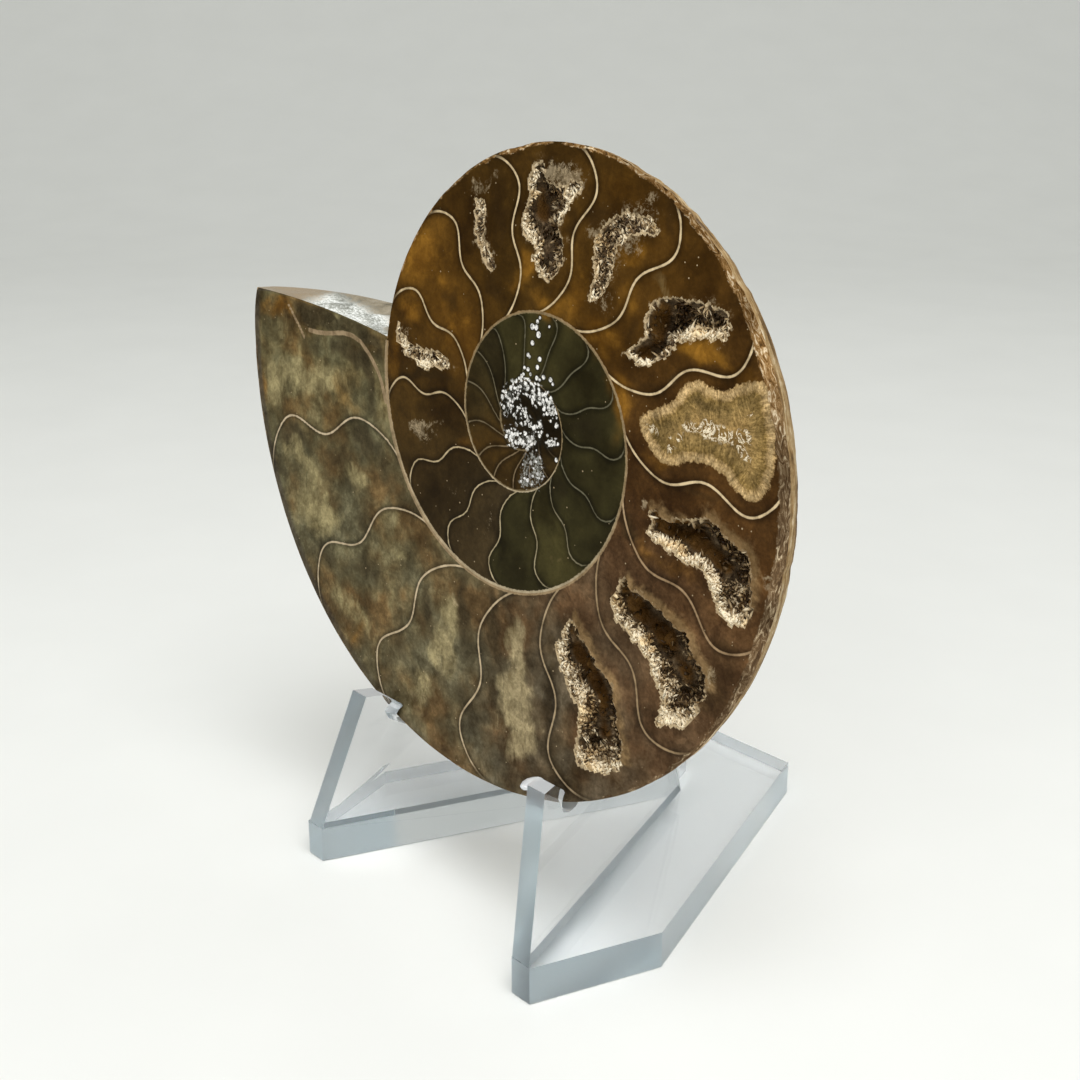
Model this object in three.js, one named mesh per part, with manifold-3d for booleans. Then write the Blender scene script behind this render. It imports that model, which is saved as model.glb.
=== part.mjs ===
// A cut and polished half of an ammonite, standing on a clear moulded display stand.
// Millimetres, +Z up. The polished face looks towards -Y and leans back a little.
import * as THREE from 'three';
import { mergeVertices } from 'three/addons/utils/BufferGeometryUtils.js';
import Module from 'manifold-3d';

const wasm = await Module();
wasm.setup();

const DEGREE = Math.PI / 180;

// Shell: the spiral, measured from its centre on the polished face
const RIM_RADIUS = 57; // centre to rim, level with the centre, at the open end on the left
const SHRINK = [0.668, 0.123, -0.0174]; // fall of the radius's logarithm per turn, turn^2, turn^3
const HALF_THICKNESS = 0.245; // flank height over rim radius
const SHOULDER = 0.36; // umbilical shoulder over rim radius
const SEAM = 0.15; // umbilical seam over rim radius
const CORE_THICKNESS = 3; // rock left in the bottom of the umbilicus
const INNER_RIM = 26; // rim radius of the next whorl in, where the open end stops
const TIP_RADIUS = 58; // rim radius at the open end
const END_ANGLE_INNER = 14 * DEGREE; // open end's edge above the level line, at the inner whorl
const END_ANGLE_TIP = 9 * DEGREE; // and at the tip
const END_DISH = 1.2; // hollow of the broken septum that closes the open end

// Shell: how finely it is faceted
const LINES = 96;
const INNER_RINGS = [1.6, 3.2, 4.8, 6.4, 8];
const OUTER_STEPS = [0.07, 0.15, 0.24, 0.34, 0.46, 0.58, 0.7, 0.8, 0.88, 0.94, 0.98, 1];
const END_COLUMNS = 5;

// Open hollows in the chambers: points along the middle of each, as
// [right of centre, above centre, half width], and the depth below the face
const HOLLOWS = {
  top: {
    depth: 5,
    path: [[-0.1, 30.2, 0.5], [0.5, 28.6, 1.2], [1.2, 27, 1.9], [1.5, 25.1, 2.7],
      [1.3, 23, 3], [2.1, 20.9, 2.7], [2.5, 18.9, 2.1], [2.6, 17.5, 1]],
  },
  upper: {
    depth: 1.6,
    path: [[10.2, 16.4, 0.8], [10.9, 18.6, 1], [11.2, 21.2, 1.2], [12.8, 23.6, 1.4],
      [15, 25, 1.5], [17.6, 24.5, 1], [19.4, 24.4, 0.6]],
  },
  upper_right: {
    depth: 5,
    path: [[15.7, 10.9, 0.4], [17.4, 10.9, 0.9], [19.5, 12.2, 1.4], [20.5, 14.4, 2.3],
      [22.4, 15.8, 2.3], [25.1, 16.1, 1.9], [27.2, 16.5, 2.4], [29.3, 16.4, 1.6]],
  },
  right: {
    depth: 5,
    path: [[20.6, -6.2, 0.5], [22.4, -7.6, 1.6], [25.5, -8.1, 2.2], [28.9, -7.5, 2.8],
      [31.5, -8.9, 2.7], [33.2, -11, 2.8], [33.8, -13.5, 2.2], [34, -15.1, 1]],
  },
  lower_right: {
    depth: 6,
    path: [[16.7, -14.3, 0.6], [17.3, -16.2, 1.7], [19, -17.6, 2.3], [21.3, -18.8, 3],
      [23.9, -20.3, 3.3], [26, -22.1, 3.3], [27.7, -24.5, 3.3], [28, -27.2, 2.6],
      [27.3, -29.4, 1.4]],
  },
  bottom: {
    depth: 6,
    path: [[9, -22.9, 0.8], [9.7, -24.9, 2.3], [11.7, -27.4, 2.8], [14.4, -30, 3.1],
      [15.4, -32.9, 3.1], [15.8, -35.9, 3.5], [15.4, -38.1, 2.9], [14.8, -39.4, 1.6]],
  },
  left: {
    depth: 1.6,
    path: [[-23.8, 8.6, 0.6], [-23.3, 6.6, 0.9], [-21.4, 5.2, 0.9], [-18.8, 4.5, 1],
      [-16.2, 4.9, 0.8], [-14, 5.3, 0.6]],
  },
  upper_left: {
    depth: 1.4,
    path: [[-9.6, 25.2, 0.6], [-9.2, 23.2, 0.9], [-9.2, 21.2, 0.9], [-8.4, 19.4, 0.7],
      [-7, 17.8, 0.6], [-6.4, 16.8, 0.5]],
  },
};
const HOLLOW_STATIONS = 15;
const STEEPEST_HOLLOW = 1.9; // depth over half width, where a hollow narrows
const ROCK_LEFT = 0.4; // share of the rock's thickness that stays behind a hollow
const CRUST_GAP = 0.4; // rock to crystal crust
const CRUST_THICKNESS = 0.42; // crust over hollow depth
const CRYSTAL_RELIEF = 0.35; // crystal tips over crust thickness

// Stand: one moulded piece, the same on both sides of X = 0
const PLATE = 5; // base plate thickness
const FOOT_INSIDE = 20; // centre line to the inner corner of a front foot
const FOOT_WIDTH = 3.2;
const FOOT_SPREAD = 17.7 * DEGREE; // outer side, from the foot to the elbow
const SPREAD_LENGTH = 17.9;
const SWEEP = 20.8 * DEGREE; // sides that run in towards the back
const STAND_DEPTH = 63.2;
const PANEL_WIDTH = 3.05; // upright panel, measured along X
const PANEL_LEAN = 0.072; // how far a panel leans in per unit of height
const PANEL_PROFILE = [ // depth, height: the outline of an upright seen from its side
  [0, 4.6], [45, 4.6], [44, 9], [31.5, 37], [28.5, 40], [25.4, 40], [22.8, 32.2], [20.5, 26.2],
  [19.2, 24], [17.8, 22], [15.6, 19.9], [13.3, 19.1], [11.6, 19.2], [10.2, 19.9], [9.8, 21],
  [10.2, 21.8], [10.7, 22.3], [10.5, 22.7], [8.4, 24.4], [5.9, 24.55], [5.3, 22.6],
];
const NUB = { size: [1.1, 1.7, 0.6], depth: 7.3, height: 23.9 }; // small moulding drop, right lip

// How the fossil stands in the notches
const SPIRAL_CENTRE = [5.95, 14.65, 65.5];
const LEAN_BACK = 4.2 * DEGREE;
const TURNED = 1.3 * DEGREE;

const COLOURS = {
  fossil: 0x5a3d1c,
  crystals: 0xcdbb97,
  stand: 0xdfe6e8,
};

function smoothStep(value) {
  const t = THREE.MathUtils.clamp(value, 0, 1);
  return t * t * (3 - 2 * t);
}

// Radius of the shell's rim after a number of turns inwards
function rimRadius(turns) {
  const [first, second, third] = SHRINK;
  return RIM_RADIUS * Math.exp(-turns * (first + turns * (second + turns * third)));
}

// Thickness of one whorl behind the face: an umbilical wall, a shoulder and an elliptic flank
function whorlThickness(radius, turns) {
  const rim = rimRadius(turns);
  const across = radius / rim;
  if (across >= 1) return 0;
  if (across < SHOULDER) {
    return HALF_THICKNESS * rim * smoothStep((across - SEAM) / (SHOULDER - SEAM));
  }
  const outwards = (across - SHOULDER) / (1 - SHOULDER);
  return HALF_THICKNESS * rim * Math.sqrt(1 - outwards * outwards);
}

// The outermost whorl hides the ones under it, and rock fills the middle
function shellThickness(radius, turns) {
  const whorls = [0, 1, 2].map((inwards) => whorlThickness(radius, turns + inwards));
  const isRim = Math.abs(radius - rimRadius(turns)) < 1e-6;
  return isRim ? 0 : Math.max(...whorls, radius < SHOULDER * INNER_RIM ? CORE_THICKNESS : 0);
}

// Angle of the open end's edge above the level line, by radius
function endAngle(radius) {
  const share = THREE.MathUtils.clamp((radius - INNER_RIM) / (TIP_RADIUS - INNER_RIM), 0, 1);
  return THREE.MathUtils.lerp(END_ANGLE_INNER, END_ANGLE_TIP, share);
}

// Rim radius on a line that starts at the open end and has gone a share of a turn
function lineRim(share) {
  let rim = rimRadius(share);
  for (let pass = 0; pass < 12; pass += 1) {
    rim = rimRadius(share - endAngle(rim) / (2 * Math.PI));
  }
  return rim;
}

function shellPoint(radius, share, thickness) {
  const angle = Math.PI - endAngle(radius) + 2 * Math.PI * share;
  return [radius * Math.cos(angle), thickness, radius * Math.sin(angle)];
}

function lineRadii(share) {
  const inner = INNER_RINGS[INNER_RINGS.length - 1];
  const rim = lineRim(share);
  return OUTER_STEPS.map((step) => inner + (rim - inner) * step);
}

function thicknessAt(radius, share) {
  return shellThickness(radius, share - endAngle(radius) / (2 * Math.PI));
}

// A list of points and triangles that grows into a solid
class Facets {
  constructor() {
    this.points = [];
    this.triangles = [];
  }

  add(point) {
    this.points.push(point);
    return this.points.length - 1;
  }

  quad(a, b, c, d) {
    this.triangles.push([a, b, c], [a, c, d]);
  }

  // Joins two rows of points; wrap closes them into rings
  join(rowA, rowB, wrap = false) {
    const last = wrap ? rowA.length : rowA.length - 1;
    for (let i = 0; i < last; i += 1) {
      const next = (i + 1) % rowA.length;
      this.quad(rowA[i], rowB[i], rowB[next], rowA[next]);
    }
  }

  fan(centre, row, wrap = false) {
    const last = wrap ? row.length : row.length - 1;
    for (let i = 0; i < last; i += 1) {
      this.triangles.push([centre, row[i], row[(i + 1) % row.length]]);
    }
  }

  // Closes a ring whose second half runs back beside its first
  cap(ring) {
    const end = ring.length - 1;
    for (let i = 0; i < end / 2 - 1; i += 1) {
      this.quad(ring[i], ring[i + 1], ring[end - 1 - i], ring[end - i]);
    }
  }

  solid() {
    return new wasm.Manifold(new wasm.Mesh({
      numProp: 3,
      vertProperties: Float32Array.from(this.points.flat()),
      triVerts: Uint32Array.from(this.triangles.flat()),
    }));
  }
}

function solidFromGeometry(geometry) {
  const bare = geometry.clone();
  bare.deleteAttribute('normal');
  bare.deleteAttribute('uv');
  const merged = mergeVertices(bare, 1e-4);
  return new wasm.Manifold(new wasm.Mesh({
    numProp: 3,
    vertProperties: Float32Array.from(merged.attributes.position.array),
    triVerts: Uint32Array.from(merged.index.array),
  }));
}

function geometryFromSolid(solid) {
  const mesh = solid.getMesh();
  const geometry = new THREE.BufferGeometry();
  geometry.setAttribute('position', new THREE.BufferAttribute(mesh.vertProperties, 3));
  geometry.setIndex(new THREE.BufferAttribute(mesh.triVerts, 1));
  geometry.computeVertexNormals();
  return geometry;
}

// The flat face, the swollen flank with its umbilicus, and the broken end that joins
// the first line of the flank to the last
function halfShell() {
  const facets = new Facets();
  const shares = Array.from({ length: LINES + 1 }, (_, i) => i / LINES);
  const closed = shares.slice(0, LINES);
  const backCentre = facets.add([0, CORE_THICKNESS, 0]);
  const rings = INNER_RINGS.map((radius) => closed.map(
    (share) => facets.add(shellPoint(radius, share, thicknessAt(radius, share))),
  ));
  const lines = shares.map((share) => lineRadii(share).map((radius, step) => {
    const thickness = step === OUTER_STEPS.length - 1 ? 0 : thicknessAt(radius, share);
    return facets.add(shellPoint(radius, share, thickness));
  }));
  facets.fan(backCentre, rings[0].slice().reverse(), true);
  for (let ring = 0; ring + 1 < rings.length; ring += 1) {
    facets.join(rings[ring + 1], rings[ring], true);
  }
  const seam = rings[rings.length - 1];
  facets.join(lines.map((line) => line[0]), [...seam, seam[0]]);
  for (let step = 0; step + 1 < OUTER_STEPS.length; step += 1) {
    facets.join(lines.map((line) => line[step + 1]), lines.map((line) => line[step]));
  }
  const faceCentre = facets.add([0, 0, 0]);
  const rim = lines.map((line) => line[line.length - 1]);
  const faceEdge = brokenEnd(facets, seam[0], lines[LINES], lines[0]);
  facets.fan(faceCentre, [...rim, ...faceEdge.slice(1)]);
  return facets.solid();
}

// A strip between the last line and the first, dished behind the face's edge
function brokenEnd(facets, start, lastLine, firstLine) {
  const rows = [[start]];
  firstLine.forEach((first, step) => {
    const last = lastLine[step];
    const [from, to] = [facets.points[last], facets.points[first]];
    const row = [last];
    for (let column = 1; column < END_COLUMNS; column += 1) {
      const share = column / END_COLUMNS;
      const radius = THREE.MathUtils.lerp(Math.hypot(from[0], from[2]), Math.hypot(to[0], to[2]), share);
      const thickness = THREE.MathUtils.lerp(from[1], to[1], share);
      const [x, y, z] = shellPoint(radius, 0, thickness);
      const dish = END_DISH * Math.sin(Math.PI * share) * Math.min(1, thickness / 3);
      row.push(facets.add([x, y, z - dish]));
    }
    rows.push([...row, first]);
  });
  facets.fan(start, rows[1].slice().reverse());
  for (let step = 1; step + 1 < rows.length; step += 1) {
    facets.join(rows[step + 1], rows[step]);
  }
  return rows[rows.length - 1];
}

// Rock behind a point of the face
function thicknessBehind(x, z) {
  const radius = Math.hypot(x, z);
  const turns = (Math.atan2(z, x) / (2 * Math.PI) + 1.5) % 1;
  return shellThickness(radius, turns);
}

// Evenly spaced frames along a hollow: middle, direction across it, half width and depth
function hollowFrames({ path, depth }) {
  const middle = new THREE.CatmullRomCurve3(path.map(([x, z]) => new THREE.Vector3(x, 0, z)));
  const widths = new THREE.CatmullRomCurve3(path.map(([, , w], i) => new THREE.Vector3(i, w, 0)));
  return Array.from({ length: HOLLOW_STATIONS }, (_, i) => {
    const t = i / (HOLLOW_STATIONS - 1);
    const point = middle.getPoint(t);
    const tangent = middle.getTangent(t);
    const across = new THREE.Vector3(tangent.z, 0, -tangent.x);
    const width = widths.getPoint(t).y;
    const rock = [-width, 0, width].map((offset) => {
      const edge = point.clone().addScaledVector(across, offset);
      return thicknessBehind(edge.x, edge.z) * (1 - ROCK_LEFT);
    });
    return { point, across, width, depth: Math.min(depth, STEEPEST_HOLLOW * width, ...rock) };
  });
}

// A closed loft through one section per frame; a section lists [share across, depth]
function loft(frames, sectionAt) {
  const facets = new Facets();
  const rows = frames.map((frame, i) => sectionAt(frame, i).map(([across, depth]) => {
    const point = frame.point.clone().addScaledVector(frame.across, across * frame.width);
    return facets.add([point.x, depth, point.z]);
  }));
  for (let i = 0; i + 1 < rows.length; i += 1) facets.join(rows[i + 1], rows[i], true);
  facets.cap(rows[0].slice().reverse());
  facets.cap(rows[rows.length - 1]);
  return facets.solid();
}

// The space cut out of the rock: upright near the face, bowl shaped below
function hollowSpace(hollow) {
  return loft(hollowFrames(hollow), ({ depth }) => [
    [-1, -1], [1, -1], [1, 0.15 * depth], [0.85, 0.65 * depth], [0.45, depth],
    [-0.45, depth], [-0.85, 0.65 * depth], [-1, 0.15 * depth],
  ]);
}

// Crystal tips stand up on alternate corners of the crust's open side
function crystalTip(station, corner) {
  return 1 + CRYSTAL_RELIEF * (((station * 5 + corner * 3) % 4) - 1.5) / 1.5;
}

// A bowl of crystals that lines a hollow, stops short of its ends and keeps clear of the rock
function crystalCrust(hollow) {
  const shrunk = hollowFrames(hollow).slice(1, -1).map((frame) => ({
    ...frame,
    width: Math.max(CRUST_GAP / 2, frame.width - CRUST_GAP),
  }));
  const lining = [[-1, 0.1], [-0.88, 0.6], [-0.45, 0.97], [0.45, 0.97], [0.88, 0.6], [1, 0.1]];
  return loft(shrunk, ({ depth }, station) => {
    const bottom = depth - CRUST_GAP;
    const outside = lining.map(([across, share]) => [across, share * bottom]);
    const inside = lining.map(([across, share], corner) => {
      const tip = CRUST_THICKNESS * crystalTip(station, corner);
      return [across * (1 - tip), Math.max(0.06, share * (1 - tip)) * bottom];
    });
    return [...inside, ...outside.reverse()];
  });
}

// The base plate: two swept wings joined at the back
function basePlate() {
  const elbowX = FOOT_INSIDE + FOOT_WIDTH + SPREAD_LENGTH * Math.sin(FOOT_SPREAD);
  const elbowY = SPREAD_LENGTH * Math.cos(FOOT_SPREAD);
  const backX = elbowX - (STAND_DEPTH - elbowY) * Math.tan(SWEEP);
  const foot = [[FOOT_INSIDE, 0], [FOOT_INSIDE + FOOT_WIDTH, 0]];
  const right = [...foot, [elbowX, elbowY], [backX, STAND_DEPTH]];
  const left = right.map(([x, y]) => [-x, y]).reverse();
  const notch = [0, FOOT_INSIDE / Math.tan(SWEEP)];
  const outline = [...right, ...left, notch].map(([x, y]) => new THREE.Vector2(x, y));
  const plate = new THREE.ExtrudeGeometry(new THREE.Shape(outline), {
    depth: PLATE,
    bevelEnabled: false,
  });
  return solidFromGeometry(plate);
}

// One upright: its profile in depth and height, given its width, then swept in and leaned
function uprightPanel() {
  const outline = PANEL_PROFILE.map(([y, z]) => new THREE.Vector2(y, z));
  const panel = new THREE.ExtrudeGeometry(new THREE.Shape(outline), {
    depth: PANEL_WIDTH,
    bevelEnabled: false,
  });
  const sweep = Math.tan(SWEEP);
  panel.applyMatrix4(new THREE.Matrix4().set(
    -sweep, -PANEL_LEAN, 1, FOOT_INSIDE + PANEL_LEAN * PLATE,
    1, 0, 0, 0,
    0, 1, 0, 0,
    0, 0, 0, 1,
  ));
  return solidFromGeometry(panel);
}

function mouldingDrop() {
  const drop = new THREE.SphereGeometry(1, 10, 6);
  const inside = FOOT_INSIDE - NUB.depth * Math.tan(SWEEP) - PANEL_LEAN * (NUB.height - PLATE);
  drop.scale(...NUB.size);
  drop.translate(inside - NUB.size[0] / 4, NUB.depth, NUB.height);
  return solidFromGeometry(drop);
}

function displayStand() {
  const right = uprightPanel();
  return basePlate().add(right).add(right.mirror([1, 0, 0])).add(mouldingDrop());
}

function namedMesh(name, solid, colour, roughness, extra = {}) {
  const material = new THREE.MeshStandardMaterial({ color: colour, roughness, metalness: 0, ...extra });
  const mesh = new THREE.Mesh(geometryFromSolid(solid), material);
  mesh.name = name;
  return mesh;
}

// The fossil and its crystals share the face's own frame, which leans in the notches
function fossil() {
  const group = new THREE.Group();
  const rock = Object.values(HOLLOWS).reduce(
    (solid, hollow) => solid.subtract(hollowSpace(hollow)),
    halfShell(),
  );
  group.add(namedMesh('ammonite_half', rock, COLOURS.fossil, 0.2));
  for (const [place, hollow] of Object.entries(HOLLOWS)) {
    group.add(namedMesh(`crystals_${place}`, crystalCrust(hollow), COLOURS.crystals, 0.5));
  }
  group.rotation.set(-LEAN_BACK, 0, TURNED, 'ZYX');
  group.position.set(...SPIRAL_CENTRE);
  return group;
}

const model = new THREE.Group();
model.add(fossil());
model.add(namedMesh('display_stand', displayStand(), COLOURS.stand, 0.1, {
  transparent: true,
  opacity: 0.35,
}));
model.updateMatrixWorld(true);
const box = new THREE.Box3().setFromObject(model, true);
const middle = box.getCenter(new THREE.Vector3());
model.position.set(-middle.x, -middle.y, -box.min.z);

export default model;
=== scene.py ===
"""Looks for a cut and polished ammonite half on a clear display stand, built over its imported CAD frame."""

import itertools
import math

import bmesh
import bpy
import numpy as np
from bpy.props import FloatProperty, FloatVectorProperty, IntProperty, PointerProperty
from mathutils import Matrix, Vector


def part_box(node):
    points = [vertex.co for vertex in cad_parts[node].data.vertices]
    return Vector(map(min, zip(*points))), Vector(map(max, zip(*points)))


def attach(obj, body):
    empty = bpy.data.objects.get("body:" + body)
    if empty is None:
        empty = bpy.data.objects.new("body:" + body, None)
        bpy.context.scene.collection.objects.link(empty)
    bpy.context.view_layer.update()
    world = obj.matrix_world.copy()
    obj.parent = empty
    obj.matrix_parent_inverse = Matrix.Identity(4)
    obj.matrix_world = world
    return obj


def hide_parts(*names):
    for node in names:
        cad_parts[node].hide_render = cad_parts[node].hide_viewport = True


bl_info = {
    "name": "Polished Ammonite Half",
    "version": (1, 0, 0),
    "blender": (4, 5, 0),
    "location": "View3D > Sidebar > Ammonite",
    "description": "Builds a cut and polished ammonite half, its crystal-lined hollows and its clear stand",
    "category": "Object",
}

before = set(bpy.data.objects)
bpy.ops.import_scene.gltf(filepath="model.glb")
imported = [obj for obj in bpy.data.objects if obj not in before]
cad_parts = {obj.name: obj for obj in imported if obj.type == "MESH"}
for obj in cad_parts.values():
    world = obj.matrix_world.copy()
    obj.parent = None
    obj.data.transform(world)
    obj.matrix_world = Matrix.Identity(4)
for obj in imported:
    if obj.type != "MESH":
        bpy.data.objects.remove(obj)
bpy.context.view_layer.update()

# The fossil's own frame, in millimetres: x right and z up on the polished face from the spiral's
# centre, y behind the face. It leans back and turns a little in the notches of the stand.
SPIRAL_CENTRE = (5.95, 14.65, 65.5)
LEAN_BACK = math.radians(4.2)
TURNED = math.radians(1.3)

RIM_RADIUS = 57.0
SHRINK = (0.668, 0.123, -0.0174)
HALF_THICKNESS = 0.245
SHOULDER = 0.36
SEAM = 0.15
CORE_THICKNESS = 3.0
INNER_RIM = 26.0
TIP_RADIUS = 58.0
END_ANGLE_INNER = math.radians(14)
END_ANGLE_TIP = math.radians(9)
END_DISH = 1.2
ROCK_CUT = 0.6

# Chamber walls: degrees wound inwards from the level line on the left, at the middle of the whorl
SEPTA = (
    -33, 13, 36, 57, 81, 104, 129, 153, 178, 203, 229, 254, 279, 305, 331, 359, 387, 414, 438,
    464, 486, 510, 537, 560, 584, 608, 633, 658, 680, 702, 730, 756, 778, 802, 826, 850, 874, 898,
)
FIRST_GREEN, LAST_GREEN = 18, 27

# Open hollows: depth below the face, and the outline of each
HOLLOWS = {
    "top": (5, ((-0.3, 30.2), (0.8, 30.2), (1.6, 28.4), (3.2, 27.8), (4.5, 28), (6, 28.6), (7.3, 28.4),
                (6.8, 27), (5.4, 26.2), (4.6, 24.8), (4, 23.6), (4.7, 21.6), (4.8, 19.6), (4, 18),
                (2.6, 17.3), (1, 18.2), (0.2, 19.4), (0.6, 20.6), (-0.2, 21.4), (-1.8, 22.2),
                (-1.9, 23.8), (-1.2, 25), (-0.9, 26.5), (-0.8, 28.4))),
    "upper": (1.7, ((9.6, 16), (11, 16.2), (12.2, 17.8), (12.9, 20), (13.3, 22.6), (15.3, 23.6),
                    (18, 24), (19, 24.6), (17.5, 25.6), (14.5, 25.9), (12.2, 25), (10.4, 23.2),
                    (10, 21), (10, 18.5))),
    "upper_right": (5, ((15.3, 11), (17, 11.9), (18.5, 13), (18.2, 14.5), (19, 16.5), (20.5, 17.5),
                        (22.5, 17.8), (24.5, 17.6), (27, 17.8), (29.3, 17), (30, 15.8), (29.6, 14.4),
                        (27, 14.2), (24.8, 14), (22.8, 13.2), (21.5, 12), (20, 10.6), (17.8, 10),
                        (16.2, 10.5))),
    "right": (5, ((20.8, -6), (22, -6.1), (24.5, -6.2), (26.5, -5.8), (28.3, -5), (29, -4.8),
                  (31, -5.6), (32.6, -6.8), (34.6, -7), (35.4, -8), (35.6, -10), (35.8, -13),
                  (35.3, -14.8), (33.8, -15.4), (32, -14.6), (31, -13.3), (30.5, -12), (29.3, -10.6),
                  (27, -10.2), (24.5, -9.6), (22, -9), (21, -8.2), (21.6, -7.4), (21, -6.7))),
    "lower_right": (6, ((17.2, -15), (18, -14.7), (18.8, -15.8), (20.5, -15.6), (22.4, -16.4),
                        (24.5, -17.4), (27, -18.2), (28.2, -19.6), (29.2, -21), (30.8, -22),
                        (31, -24), (30.3, -26), (29.8, -27.5), (28.3, -29), (26.5, -29.7),
                        (24.6, -30), (25.3, -28.3), (24.8, -26), (24, -25), (22.3, -23.2),
                        (20.8, -21.8), (19, -20.5), (17, -19.6), (16.2, -18), (16.8, -16.5))),
    "bottom": (6, ((10.1, -22), (11.9, -23.8), (13.4, -25.2), (14.8, -26.8), (16.8, -27.8),
                   (17.7, -30), (18.2, -33), (19.3, -35), (19.5, -37), (18, -38.5), (15, -39.6),
                   (12.5, -39.8), (12, -38), (12.4, -34), (12.2, -32), (10.5, -31), (9.4, -29.5),
                   (8.5, -27.8), (7.5, -26), (8.6, -24.2), (9.6, -22.4))),
    "left": (1.6, ((-24.3, 8.8), (-23.6, 7), (-22.3, 6.2), (-20, 5.7), (-17, 5.9), (-14.5, 5.4),
                   (-14, 4.6), (-16.5, 4.2), (-18.6, 3.6), (-20.5, 4.2), (-22.8, 5.2), (-24.4, 6.6))),
    "upper_left": (1.4, ((-10.1, 25.4), (-8.9, 25.2), (-8.4, 23), (-8.5, 20.8), (-7.2, 19),
                         (-6.3, 17.8), (-6.7, 17), (-7.8, 17.9), (-8.8, 19.4), (-9.8, 20.6),
                         (-10.2, 22.6))),
}

# Soft ellipses: right, above, reach along, reach across, turned by degrees, strength.
# Bare caves under the upper edges of the hollows: the bowls are deepest there and hold few crystals, and painted shade
# darkens their wall and crystals
CAVE_SHADE = (
    (2, 25.8, 1.9, 1.7, 0, 0.95), (1.6, 27.8, 1.2, 0.9, 0, 0.5), (3, 21.2, 1.2, 2, 0, 0.45),
    (21.5, 16.2, 2.2, 1.7, 0, 1), (20.6, 14.2, 1.9, 1.3, -20, 0.95), (19.2, 11.8, 1.9, 0.9, 15, 1),
    (24.5, -6.8, 3.6, 1.2, -5, 1), (29.5, -7, 2.6, 1.9, 0, 1), (32.8, -8.6, 2.2, 1.5, -10, 0.95),
    (18.3, -15.5, 1.1, 0.9, 0, 0.95), (21.4, -17.3, 3, 1.9, -20, 1), (26, -19.3, 2.6, 2.1, -35, 1),
    (29.2, -22.6, 1.9, 1.5, -50, 0.9), (10.5, -23, 0.9, 0.7, -45, 0.7), (12.8, -25.6, 2.4, 1.5, -35, 1),
    (15.5, -28, 2.1, 1.5, -35, 1), (16.9, -30.4, 1.3, 2.4, 0, 0.95), (17.6, -34, 1.2, 1.7, 0, 0.8),
    (13.4, -36.6, 1.2, 0.8, 0, 0.5),
)
# Mats of crystals along the lower sides of the hollows: crystals crowd there, and painted light makes them paler
LIT_MATS = (
    (-0.7, 22.7, 1.3, 1.1, -20, 1), (0.7, 21.2, 1.2, 0.8, 0, 0.9), (1.3, 18.5, 1.4, 0.7, -35, 1),
    (0, 29, 0.5, 1.3, 0, 0.8), (5.9, 27.3, 1.3, 0.8, 30, 1), (4.2, 25.1, 0.7, 0.8, 0, 0.9),
    (0, 27.2, 0.7, 0.7, 0, 0.6), (26, 15, 3.2, 0.9, 10, 0.8), (25, 14.4, 3, 0.6, 10, 1),
    (18.4, 10.5, 2.6, 0.55, -5, 1), (18.6, 15.9, 0.4, 0.9, 0, 0.8), (19.6, 14, 0.9, 0.4, 0, 0.6),
    (24.5, -8.8, 3.4, 0.7, -8, 0.9), (27.5, -9.7, 2, 0.6, 0, 0.9), (31, -11, 1.6, 1, -50, 1),
    (33.2, -14.6, 2.4, 0.9, 0, 1), (21.2, -7, 0.4, 0.9, 0, 1), (35.4, -12, 0.5, 2, 0, 0.5),
    (17.8, -18.4, 1.5, 1.5, -40, 0.6), (20, -20.6, 1.8, 0.8, -35, 0.7), (22.8, -21.6, 2.4, 1.1, -50, 1),
    (23.6, -23.7, 2, 0.9, -20, 1), (27, -28.5, 2.8, 1.1, 25, 1), (26.2, -26, 1.4, 0.8, 0, 0.4),
    (11.6, -29.3, 1.9, 1.3, -30, 1), (12.8, -32.6, 0.8, 2.2, 0, 0.9), (15.6, -38, 3.4, 1.2, 25, 1),
    (8.5, -26.4, 1.2, 1.6, 0, 0.6), (12.8, -27.6, 0.9, 0.8, 0, 0.5), (19, -36, 0.6, 1.4, 0, 0.8),
    (-18.6, 4.2, 2, 0.5, 5, 1), (-22.6, 5.6, 1, 0.6, -25, 0.9), (-15, 4.7, 1.2, 0.5, 0, 0.7),
)

# Outline of the one hollow that calcite has closed, and its scattered white crystals
POCKET = (
    (18.3, 4.2), (19.5, 5.2), (21.5, 6), (23.4, 7.3), (24.5, 9), (26.3, 9.9), (28, 9.3), (30, 9.3),
    (31.3, 10), (33.5, 11), (35.5, 10.8), (36, 9), (36.8, 7), (37.3, 4.5), (37.2, 2), (36.8, 0),
    (35.5, -1.3), (34, -1.7), (32.5, -0.8), (31, 0.3), (29, 1), (27, 0.9), (25.3, 0.6),
    (23.5, -0.2), (21.8, 0), (20.3, 1.3), (18.8, 2.8),
)
SEAM_CRYSTALS = (
    (26, 4.8, 1.4, 0.5, 0, 0.9), (28.3, 4.7, 1.3, 0.9, 0, 1), (30.5, 4.7, 1.4, 1, 0, 1),
    (32.7, 4.9, 1.3, 0.9, 20, 0.9), (32.8, 3.4, 1.4, 0.6, -20, 0.8), (20.8, 3.4, 1.4, 0.5, -30, 0.6),
    (23.2, 2.1, 0.8, 1.1, 0, 0.8), (24.6, 3.4, 0.8, 0.6, 40, 0.5), (33.7, 7.4, 0.5, 0.3, 0, 0.8),
)

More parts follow.
